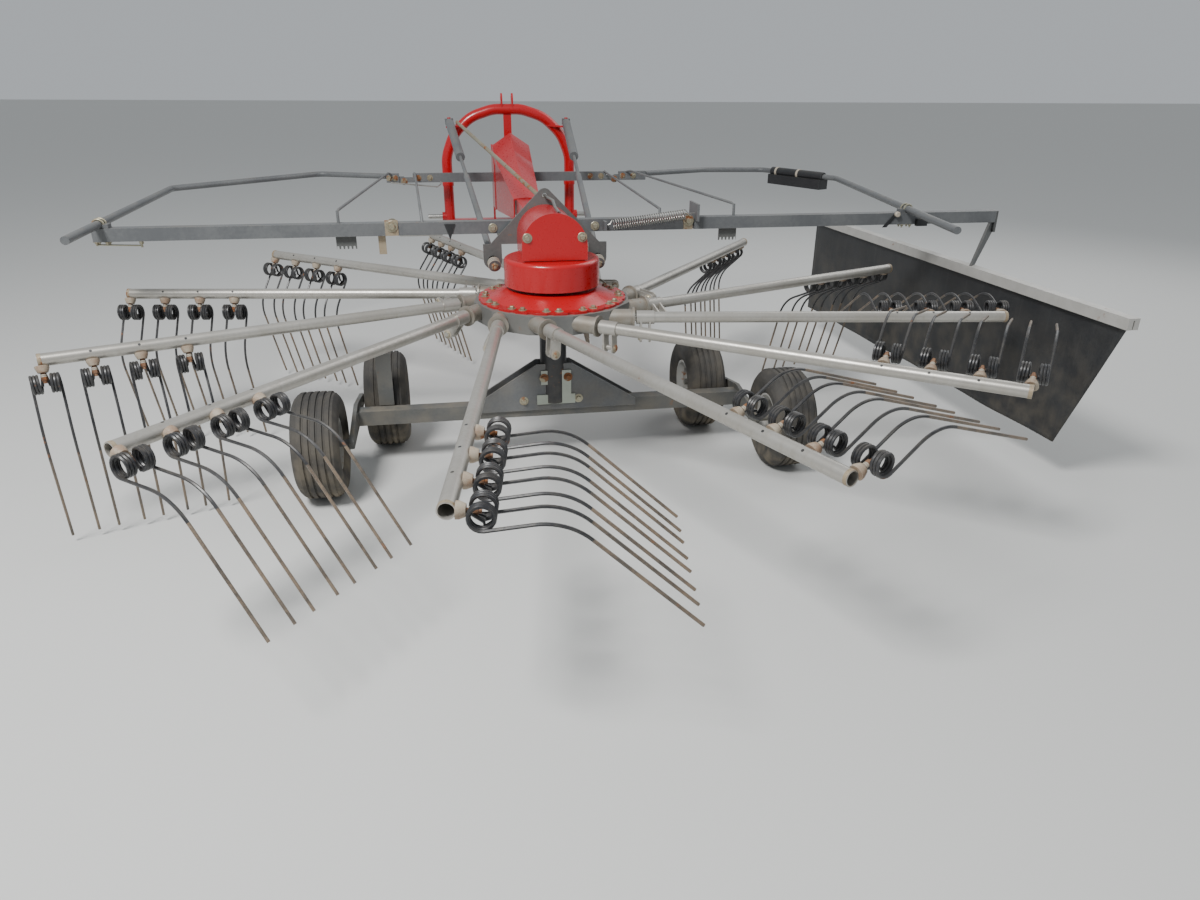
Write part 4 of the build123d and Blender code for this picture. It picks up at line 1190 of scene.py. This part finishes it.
@dataclass
class RotorHead:
    """The scalloped disc's bolts and what is fastened to the gearbox and the head plate.

    Attributes:
        axis: The rotor's axis.
        disc_top: Height of the drive disc's flange.
        pair_count: Pairs of bolts round the flange.
        pair_spread: Degrees from a pair's middle to each bolt.
        bolt_circle: Radius of the bolts' circle.
        phase: Direction of the first pair, in degrees.
        cover_bolt: Seat of the gearbox cover's right bolt; the left one mirrors it.
        strut_top: Upper end of a strut, with its distance from the middle.
        strut_pin: Middle of the hole that a strut's stem passes.
        stem_radii: Radius of a ring on the stem at its ends and over its face.
        stem_rings: Heights between which each ring lies.
        stem_nut: Height of the nut's seat.
        hook_bends: Path of the bright rod over the gearbox.
        bearings_from: Distance from the axis at which the bearings stand clear of the box.
    """

    axis: RotorAxis
    disc_top: float = 0.693
    pair_count: int = 12
    pair_spread: float = 5.0
    bolt_circle: float = 0.268
    phase: float = -96.8
    cover_bolt: Triple = (0.105, -0.113, 0.938)
    strut_top: Triple = (0.340, 1.950, 1.258)
    strut_pin: Triple = (0.220, 0.202, 0.800)
    stem_radii: Pair = (0.0238, 0.026)
    stem_rings: tuple[Pair, ...] = ((0.026, 0.032), (0.040, 0.046), (0.052, 0.0575))
    stem_nut: float = 0.058
    hook_bends: Path = ((0, 0.215, 1.054), (0, 0.185, 1.056), (0.01, 0.15, 1.05),
                        (0.022, 0.11, 1.045), (0.02, 0.03, 1.030), (0.02, -0.09, 1.027))
    bearings_from: float = 0.318

    def on_bearing(self, point: Vector) -> bool:
        """Says whether a point lies outside the rotor's box."""
        return math.hypot(point.x - self.axis.x, point.y - self.axis.y) > self.bearings_from

    def build_disc_bolts(self) -> None:
        """Sets pairs of bolt heads on the disc's flange."""
        draft = MeshDraft("disc_bolts")
        for i in range(self.pair_count):
            for spread in (-self.pair_spread, self.pair_spread):
                outward = compass(self.phase + spread + i * 360 / self.pair_count)
                spoke = outward * self.bolt_circle
                seat = facing(self.axis.at(spoke.x, spoke.y, self.disc_top), UP, outward)
                draft.bolt(seat, Hexagon.M10_HIGH, ZINC_TAN)
        draft.mount("rotor")

    def build_cover_bolts(self) -> None:
        """Sets the two bolts of the gearbox's rear cover."""
        draft = MeshDraft("cover_bolts")
        for side in Side:
            seat = facing(self.axis.beside(self.cover_bolt, side.value), BACK)
            draft.bolt(seat, Hexagon.M12, ZINC_TAN)
        draft.mount("frame")

    def build_hook_rod(self) -> None:
        """Lays the bent bright rod from the head plate's top hole over the gearbox."""
        draft = MeshDraft("hook_rod")
        draft.tube(self.axis.line(self.hook_bends), 0.006, 12, BRIGHT_STEEL)
        draft.mount("frame", 60.0)

    def build_stem_rings(self, side: Side) -> None:
        """Adds the rings and the nut on a strut's stem behind the head plate.

        Args:
            side: Side of the machine.
        """
        top, pin = self.axis.line((self.strut_top, self.strut_pin), side.value)
        place = facing(pin, pin - top)
        draft = MeshDraft(f"stem_rings_{side.word}")
        for heights in self.stem_rings:
            draft.collar(place, self.stem_radii, heights, 0.001, 32, CREAM_WASHER)
        nut = place @ Matrix.Translation(UP * self.stem_nut)
        draft.bolt(nut, Hexagon.NUT_M18, ZINC_TAN, washer=False, stem=0.012)
        draft.mount(f"strut_rod_{side.word}")

    def build(self) -> None:
        """Dresses the rotor's box and its bearings and builds everything on the head."""
        dress_node("rotor_carrier", CARRIER_GREY)
        dress_part("rotor_carrier", COLLAR_STEEL, self.on_bearing)
        self.build_disc_bolts()
        self.build_cover_bolts()
        self.build_hook_rod()
        for side in Side:
            self.build_stem_rings(side)


@dataclass
class SideCurtain:
    """The black rubber sheet that hangs from the right guard.

    Attributes:
        axis: The rotor's axis.
        rear: Rear end of the rail.
        length: Length of the rail.
        toe: Degrees that the rail turns in towards the front.
        top: Height of the sheet's clamped edge.
        bottom: Height of its lower edge.
        slant: How much shorter the lower edge is at the rear.
        inset: From the rail's end to the sheet's.
        thickness: Thickness of the sheet.
        ripple: Largest sideways wave.
        columns: Faces along the sheet.
        rows: Faces down the sheet.
        post_from: Height above which the post begins and takes a darker grey as painted shade.
    """

    axis: RotorAxis
    rear: Pair = (1.937, -0.846)
    length: float = 2.461
    toe: float = 2.4
    top: float = 0.732
    bottom: float = 0.175
    slant: float = 0.235
    inset: float = 0.008
    thickness: float = 0.004
    ripple: float = 0.008
    columns: int = 72
    rows: int = 20
    post_from: float = 0.75

    def row(self, drop: float) -> list[Vector]:
        """Gives the points of one row of the sheet.

        Args:
            drop: Share of the way down from the clamped edge.

        Returns:
            The points from rear to front.
        """
        out = compass(self.toe)
        way = UP.cross(out)
        start = self.axis.at(*self.rear, self.top + (self.bottom - self.top) * drop)
        low_end = self.inset + (self.slant - self.inset) * drop
        loose = max(0.0, drop - 0.06) ** 1.5
        points = []
        for i in range(self.columns + 1):
            along = low_end + (self.length - self.inset - low_end) * i / self.columns
            wave = math.sin(along * 6.1 + 0.7) * 0.6 + math.sin(along * 13.7 + drop * 2.2) * 0.4
            points.append(start + way * along + out * (wave * self.ripple * loose))
        return points

    def build(self) -> None:
        dress_node("curtain_rail", RAIL_GALVANISED)
        # Faces of the post above post_from get a darker grey: painted shade.
        dress_part("curtain_rail", SHADED_POST_GREY, lambda point: point.z > self.post_from)
        draft = MeshDraft("rubber_curtain")
        grid = [[draft.mesh.verts.new(point) for point in self.row(j / self.rows)]
                for j in range(self.rows + 1)]
        draft.skin(grid, CURTAIN_BLACK, around=False)
        piece = draft.mount("guard_right")
        shell = piece.modifiers.new("thickness", "SOLIDIFY")
        shell.thickness = self.thickness
        shell.offset = 0
        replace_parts(piece, "curtain")


@dataclass
class GuardSpring:
    """The long spring that helps to fold the right guard.

    Attributes:
        axis: The rotor's axis.
        start: Its end on the fixed bar.
        end: Its end on the folding bar.
        radius: Outer radius of its turns.
        wire: Radius of its wire.
        turns: Number of turns.
        hooks: Length of the hook at each end.
        keep: Share of its length that is left when the guard is folded; not used.
    """

    axis: RotorAxis
    start: Triple = (0.255, 0.199, 0.930)
    end: Triple = (0.645, 0.199, 0.975)
    radius: float = 0.022
    wire: float = 0.0023
    turns: int = 31
    hooks: Pair = (0.03, 0.05)
    keep: float = 0.838

    def build(self) -> None:
        """Winds the spring."""
        start, end = self.axis.line((self.start, self.end))
        way = (end - start).normalized()
        length = (end - start).length
        coil_from, coil_to = self.hooks[0], length - self.hooks[1]
        points = [Vector((0, 0, 0.002)), Vector((0.004, 0, coil_from * 0.6))]
        points += winding(self.radius - self.wire, 0.0, self.turns, coil_from, coil_to, 14)
        points += [Vector((0.002, 0, length - 0.036)), Vector((0, -0.002, length - 0.008))]
        place = facing(start, way)
        draft = MeshDraft("wound_guard_spring")
        draft.tube([place @ point for point in points], self.wire, 6, BRIGHT_STEEL)
        piece = draft.mount("frame")
        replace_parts(piece, "guard_spring")
        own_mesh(piece)


@dataclass
class GuardHardware:
    """Hinge plates, rods, clamps and small fittings of the guard frame.

    Attributes:
        axis: The rotor's axis.
        fold: Distance and height of the fold pins.
        rear_bar: Place along the machine and height of the rear bar's middle.
        bar: Half width of the bars' tube.
        front_face: Place of the front bar's rear face.
        front_bolts: Height of the front bar's bolts.
        yoke_bolt: Distance and height of the bolts beside the yoke.
        tube_height: Height of the round guard tubes' middle.
        tube_radius: Radius of those tubes.
        crossings: Where the left and the right guard's tube cross the rear bar.
        clamp_gap: From a crossing to each strap over it, along the machine.
        strap: Radius of a strap's rod.
        plate: Thickness of the small plates.
        latch_bends: Path of the latch rod below the left front bar.
        stay_bends: Path of the thin stays between the fixed bars.
        guard_stay_bends: Path of the stays on the folding guards, from the rear bar's middle.
        rack: Nearest and farthest distance of the toothed rack plates.
        tooth: From one tooth of a rack to the next.
        lynch_bends: Path of the pin's wire under the left bar, with heights from its face.
    """

    axis: RotorAxis
    fold: Pair = (0.617, 0.940)
    rear_bar: Pair = (0.250, 0.928)
    bar: float = 0.025
    front_face: float = 1.853
    front_bolts: float = 0.958
    yoke_bolt: Pair = (0.213, 0.925)
    tube_height: float = 0.968
    tube_radius: float = 0.015
    crossings: Pair = (-1.708, 1.635)
    clamp_gap: float = 0.014
    strap: float = 0.004
    plate: float = 0.004
    latch_bends: Path = ((-0.690, 1.83, 0.936), (-0.43, 1.83, 0.91), (-0.41, 1.845, 0.925),
                         (-0.41, 1.86, 0.940))
    stay_bends: Path = ((0.556, 1.864, 0.978), (0.556, 1.845, 0.986), (0.552, 1.79, 0.985),
                        (0.500, 0.262, 0.985), (0.497, 0.252, 0.950))
    guard_stay_bends: Path = ((0.826, 0.250, 0.950), (0.826, 0.252, 1.000), (0.822, 0.275, 1.003),
                              (0.700, 1.78, 0.993), (0.692, 1.858, 0.981))
    rack: Pair = (0.763, 0.843)
    tooth: float = 0.016
    lynch_bends: Path = ((-1.572, 0.250, -0.02), (-1.729, 0.240, -0.012), (-1.729, 0.236, 0))

    @property
    def rear_face(self) -> float:
        """Place of the rear bar's rear face."""
        return self.rear_bar[0] - self.bar

    @property
    def low_face(self) -> float:
        """Height of the rear bar's lower face."""
        return self.rear_bar[1] - self.bar

    def rearward(self, x: float, y: float, z: float) -> Matrix:
        """Gives a place whose Z axis points to the rear."""
        return facing(self.axis.at(x, y, z), BACK)

    def outline_plate(self, draft: MeshDraft, corners: Iterable[Pair], rear: float,
                      finish: Finish) -> None:
        """Adds a flat plate that stands across the machine.

        Args:
            draft: Mesh that gets it.
            corners: Distance and height of each corner.
            rear: Place of its rear face.
            finish: Its finish.
        """
        place = facing(self.axis.at(0, rear, 0), AHEAD, RIGHT)
        draft.prism(place, [(x, -z) for x, z in corners], self.plate, finish)

    def build_fold_hinges(self) -> None:
        """Builds the hinge plates and pins' heads that stay on the fixed bars."""
        draft = MeshDraft("fold_hinges")
        fold_x, fold_z = self.fold
        rear = self.rear_face - 0.003
        low = self.low_face
        for side, middle, half, high in ((Side.LEFT, fold_x + 0.002, 0.026, 0.965),
                                         (Side.RIGHT, fold_x, 0.020, 0.952)):
            turn = side.value
            draft.slab(self.axis.at(turn * middle - half, rear, low),
                       self.axis.at(turn * middle + half, self.rear_face, high), PLATE_TAN)
            pin = turn * fold_x
            draft.bolt(self.rearward(pin, rear, fold_z), Hexagon.M16, ZINC_TAN)
            ahead = self.axis.at(pin, self.rear_bar[0] + self.bar, fold_z)
            draft.bolt(facing(ahead, AHEAD), Hexagon.M16, ZINC_TAN, stem=0.005)
            draft.bolt(self.rearward(pin, self.front_face, fold_z), Hexagon.M12, ZINC_TAN)
            yoke_x, yoke_z = self.yoke_bolt
            yoke = self.rearward(turn * yoke_x, self.rear_face, yoke_z)
            draft.bolt(yoke, Hexagon.M12, ZINC_TAN)
            self.add_front_bolts(draft, turn, (0.470, 0.535))
        draft.mount("frame")

    def add_front_bolts(self, draft: MeshDraft, turn: int, distances: Iterable[float]) -> None:
        """Sets bolts in the front bar's rear face.

        Args:
            draft: Mesh that gets them.
            turn: 1 on the right side, -1 on the left.
            distances: Their distances from the middle.
        """
        for x in distances:
            seat = self.rearward(turn * x, self.front_face, self.front_bolts)
            draft.bolt(seat, Hexagon.M10, ZINC_TAN)

    def build_frame_fittings(self) -> None:
        """Builds the latch strip, the tab and the thin rods that the fixed bars carry."""
        draft = MeshDraft("bar_fittings")
        rear = self.rear_bar[0]
        draft.slab(self.axis.at(-0.589, rear - 0.012, self.low_face - 0.006),
                   self.axis.at(-0.418, rear + 0.012, self.low_face), BRIGHT_STEEL)
        tab = ((-0.410, 0.945), (-0.366, 0.945), (-0.388, 0.881))
        self.outline_plate(draft, tab, self.rear_face - self.plate, PLASTIC_BLACK)
        draft.tube(self.axis.line(self.latch_bends), 0.004, 8, BRIGHT_STEEL)
        for side in Side:
            draft.tube(self.axis.line(self.stay_bends, side.value), 0.006, 10, GUARD_GREY)
        draft.mount("frame", 60.0)

    def add_tube_clamp(self, draft: MeshDraft, crossing: float) -> None:
        """Adds two bent straps over a guard's tube with their nuts below the bar.

        Args:
            draft: Mesh that gets them.
            crossing: Where the tube crosses the bar.
        """
        reach = self.tube_radius + self.strap
        foot = self.rear_bar[1] + self.bar - 0.004
        for along in (self.rear_bar[0] - self.clamp_gap, self.rear_bar[0] + self.clamp_gap):
            path = [(crossing - reach, along, foot)]
            for i in range(13):
                spoke = compass(180 * (1 - i / 12)) * reach
                path.append((crossing + spoke.x, along, self.tube_height + spoke.y))
            path.append((crossing + reach, along, foot))
            draft.tube(self.axis.line(path), self.strap, 8, ZINC_TAN)
            for x in (crossing - reach, crossing + reach):
                under = facing(self.axis.at(x, along, self.low_face), DOWN)
                draft.bolt(under, Hexagon.M8, ZINC_TAN, stem=0.006)

    def add_rack(self, draft: MeshDraft, turn: int) -> None:
        """Adds the toothed rack plate under a guard's rear bar.

        Args:
            draft: Mesh that gets it.
            turn: 1 on the right side, -1 on the left.
        """
        near, far = self.rack
        top, root, tip = (self.low_face + z for z in (0.002, -0.041, -0.053))
        corners = [(near, top), (near, tip)]
        for i in range(round((far - near) / self.tooth)):
            left = near + self.tooth * i
            corners += [(left + 0.005, tip), (left + 0.007, root), (left + 0.014, root),
                        (left + self.tooth, tip)]
        corners.append((far, top))
        rear = self.rear_bar[0] - self.plate / 2
        # The rack plate takes the dark frame grey as painted shade for the shadow under the bar.
        self.outline_plate(draft, [(turn * x, z) for x, z in corners], rear, FRAME_GREY)

    def add_left_latch(self, draft: MeshDraft) -> None:
        """Adds the hanging plate, the stud and the pin's wire under the left guard's bar.

        Args:
            draft: Mesh that gets them.
        """
        rear, low = self.rear_bar[0], self.low_face
        hanger = ((-0.677, 0.826), (-0.647, 0.826), (-0.647, low + 0.002), (-0.677, low + 0.002))
        self.outline_plate(draft, hanger, rear - self.plate / 2, PLATE_TAN)
        stud = facing(self.axis.at(-1.572, rear, low), DOWN)
        draft.bolt(stud, Hexagon.NUT_M9, ZINC_TAN, stem=0.012)
        wire = self.axis.line((x, y, low + z) for x, y, z in self.lynch_bends)
        draft.tube(wire, 0.003, 8, ZINC_TAN)

    def add_right_latch(self, draft: MeshDraft) -> None:
        """Adds the black catch, its lever and the pale knob behind the right guard's bar.

        Args:
            draft: Mesh that gets them.
        """
        face = self.rear_face
        draft.slab(self.axis.at(1.672, face - 0.02, 0.897), self.axis.at(1.722, face, 0.927),
                   PLASTIC_BLACK)
        lever = ((1.515, 0.892), (1.535, 0.892), (1.585, 0.949), (1.565, 0.949))
        self.outline_plate(draft, lever, face - self.plate, PLASTIC_BLACK)
        knob = ((0.006, 0), (0.006, 0.006), (0.012, 0.008), (0.012, 0.018), (0.009, 0.021))
        draft.lathe(self.rearward(1.575, face, 0.949), knob, 20, CREAM_WASHER)

    def build_guard_fittings(self, side: Side) -> None:
        """Builds what rides on one folding guard.

        Args:
            side: Side of the machine.
        """
        draft = MeshDraft(f"guard_fittings_{side.word}")
        left = side is Side.LEFT
        self.add_rack(draft, side.value)
        draft.tube(self.axis.line(self.guard_stay_bends, side.value), 0.006, 10, GUARD_GREY)
        self.add_front_bolts(draft, side.value, (0.667, 0.700 if left else 0.732))
        self.add_tube_clamp(draft, self.crossings[0 if left else 1])
        if left:
            self.add_left_latch(draft)
        else:
            self.add_right_latch(draft)
        draft.mount(f"guard_{side.word}")

    def build(self) -> None:
        """Builds all the fittings of the guard frame."""
        self.build_fold_hinges()
        self.build_frame_fittings()
        for side in Side:
            self.build_guard_fittings(side)


@dataclass
class StowageBox:
    """The black sleeve and bands that hold the box under the right guard's tube.

    Attributes:
        axis: The rotor's axis.
        centre: Middle of the box on the tube's line.
        turn: Direction of the tube above it, in degrees.
        tube_height: Height of the tube's middle.
        length: Length of the sleeve.
        sleeve: Radius of the sleeve round the tube.
        bands: Place of each band's middle along the sleeve.
    """

    axis: RotorAxis
    centre: Pair = (1.734, 1.747)
    turn: float = -64.7
    tube_height: float = 0.968
    length: float = 0.412
    sleeve: float = 0.026
    bands: Pair = (-0.16, 0.013)

    def build(self) -> None:
        """Builds the sleeve with its two light bands."""
        draft = MeshDraft("box_sleeve")
        place = facing(self.axis.at(*self.centre, self.tube_height), compass(self.turn))
        half = self.length / 2
        draft.collar(place, (self.sleeve - 0.003, self.sleeve), (-half, half), 0.003, 28,
                     PLASTIC_BLACK)
        for middle in self.bands:
            draft.collar(place, (self.sleeve, self.sleeve + 0.0018),
                         (middle - 0.008, middle + 0.008), 0.001, 28, CREAM_WASHER, closed=True)
        draft.mount("guard_right")


@dataclass
class AxleFittings:
    """The pale bracket, the bolts and the mud plate on the axle.

    Attributes:
        axis: The rotor's axis.
        gusset_face: Place of the gusset's rear face.
        plate: Thickness of the bracket.
        bracket: Left, right, lower and upper edge of each part of the bracket.
        gusset_bolts: Distances of the bolts in the gusset, and their height.
        bracket_bolts: Distances of the bolts in the bracket, and their height.
        mud_plate: Two corners of the mud plate.
    """

    axis: RotorAxis
    gusset_face: float = -0.040
    plate: float = 0.006
    bracket: tuple[tuple[float, float, float, float], ...] = (
        (-0.057, 0.068, 0.328, 0.388), (-0.075, 0.085, 0.242, 0.283), (0.020, 0.068, 0.283, 0.328))
    gusset_bolts: Triple = (-0.13, 0.1, 0.26)
    bracket_bolts: Triple = (-0.045, 0.055, 0.358)
    mud_plate: Path = ((-0.72, 0.028, 0.25), (-0.66, 0.034, 0.47))

    def build(self) -> None:
        """Builds the bracket, its bolts and the mud plate."""
        draft = MeshDraft("axle_fittings")
        face = self.gusset_face
        for x_low, x_high, z_low, z_high in self.bracket:
            draft.slab(self.axis.at(x_low, face - self.plate, z_low),
                       self.axis.at(x_high, face, z_high), BRACKET_PALE)
        for (left, right, height), seat in ((self.gusset_bolts, face),
                                            (self.bracket_bolts, face - self.plate)):
            for x in (left, right):
                place = facing(self.axis.at(x, seat, height), BACK)
                draft.bolt(place, Hexagon.M12, ZINC_TAN)
        draft.slab(*self.axis.line(self.mud_plate), FRAME_GREY)
        draft.mount("frame")


@dataclass
class ArchCollars:
    """The collars where the arch's legs meet the cross tube of the headstock.

    Attributes:
        axis: The rotor's axis.
        foot: Lower middle of the right collar; the left one mirrors it.
        height: Height of a collar.
        tube_radius: Radius of the arch's tube.
    """

    axis: RotorAxis
    foot: Triple = (0.367, 2.020, 0.894)
    height: float = 0.022
    tube_radius: float = 0.030

    def build(self) -> None:
        """Builds both collars."""
        draft = MeshDraft("arch_collars")
        radii = (self.tube_radius - 0.001, self.tube_radius + 0.004)
        for side in Side:
            foot = Matrix.Translation(self.axis.beside(self.foot, side.value))
            draft.collar(foot, radii, (0, self.height), 0.001, 32, GLOSS_RED, closed=True)
        draft.mount("headstock")


@dataclass(frozen=True)
class Lamp:
    """A round soft lamp.

    Attributes:
        name: Name of the lamp.
        place: Its place from the rotor's axis.
        size: Its diameter.
        power: Its power in watts.
    """

    name: str
    place: Triple
    size: float
    power: float


@dataclass
class Studio:
    """Floor, soft light and the photograph's camera.

    Attributes:
        axis: The rotor's axis.
        eye: The camera's place from the rotor's axis.
        heading: Degrees to the right of straight ahead.
        fall: Degrees below the horizon.
        roll: Degrees that the camera leans.
        sensor: Width of the camera's sensor in millimetres.
        focal_share: Focal length as a share of the picture's width.
        floor_half: Half width of the floor.
        sky: Strength of the sky.
        lamps: The lamps.
        aim: What the lamps point at.
    """

    axis: RotorAxis
    eye: Triple = (-0.4153, -3.3379, 1.4914)
    heading: float = 10.46
    fall: float = 23.78
    roll: float = 0.47
    sensor: float = 36.0
    focal_share: float = 843.1 / 1200
    floor_half: float = 60.0
    sky: float = 0.5
    lamps: tuple[Lamp, ...] = (Lamp("key_light", (-2.5, -3.0, 5.2), 1.6, 430.0),
                               Lamp("fill_light", (4.5, 2.5, 4.5), 5.0, 120.0))
    aim: Triple = (0, 0, 0.6)

    def build_camera(self) -> None:
        """Places the camera at the photograph's viewing angle."""
        heading, fall = math.radians(self.heading), math.radians(self.fall)
        look = Vector((math.sin(heading) * math.cos(fall), math.cos(heading) * math.cos(fall),
                       -math.sin(fall)))
        data = bpy.data.cameras.new("photo_camera")
        data.sensor_width = self.sensor
        data.lens = self.sensor * self.focal_share
        data.clip_end = 100
        camera = bpy.data.objects.new("photo_camera", data)
        camera.location = self.axis.at(*self.eye)
        lean = Matrix.Rotation(math.radians(self.roll), 3, "Z")
        camera.rotation_euler = (look.to_track_quat("-Z", "Y").to_matrix() @ lean).to_euler()
        bpy.context.scene.collection.objects.link(camera)
        bpy.context.scene.camera = camera

    def build_floor(self) -> None:
        """Lays a wide pale floor."""
        mesh = bmesh.new()
        bmesh.ops.create_grid(mesh, x_segments=8, y_segments=8, size=self.floor_half)
        data = bpy.data.meshes.new("studio_floor")
        mesh.to_mesh(data)
        mesh.free()
        material = bpy.data.materials.new("pale_floor")
        material.use_nodes = True
        shader = material.node_tree.nodes["Principled BSDF"]
        shader.inputs["Base Color"].default_value = (0.62, 0.62, 0.6, 1)
        shader.inputs["Roughness"].default_value = 0.9
        data.materials.append(material)
        floor = bpy.data.objects.new("studio_floor", data)
        bpy.context.scene.collection.objects.link(floor)

    def build_light(self) -> None:
        """Adds a bright overcast sky and the soft lamps."""
        world = bpy.data.worlds.new("soft_sky")
        world.use_nodes = True
        background = world.node_tree.nodes["Background"]
        background.inputs["Color"].default_value = (0.9, 0.95, 1.0, 1)
        background.inputs["Strength"].default_value = self.sky
        bpy.context.scene.world = world
        for lamp in self.lamps:
            data = bpy.data.lights.new(lamp.name, "AREA")
            data.shape = "DISK"
            data.size = lamp.size
            data.energy = lamp.power
            light = bpy.data.objects.new(lamp.name, data)
            light.location = self.axis.at(*lamp.place)
            way = self.axis.at(*self.aim) - light.location
            light.rotation_euler = way.to_track_quat("-Z", "Y").to_euler()
            bpy.context.scene.collection.objects.link(light)

    def build(self) -> None:
        """Sets up the whole studio."""
        self.build_camera()
        self.build_floor()
        self.build_light()


def main() -> None:
    """Builds the rake's looks in order."""
    logging.basicConfig(level=logging.INFO, format="%(name)s: %(message)s")
    axis = RotorAxis.from_column()
    Studio(axis).build()
    for finish, names in NODE_FINISHES.items():
        for name in names:
            dress_node(name, finish)
    for assembly in (TineArms, Wheels, RotorHead, SideCurtain, GuardSpring, GuardHardware,
                     StowageBox, AxleFittings, ArchCollars):
        assembly(axis).build()


if __name__ == "__main__":
    main()
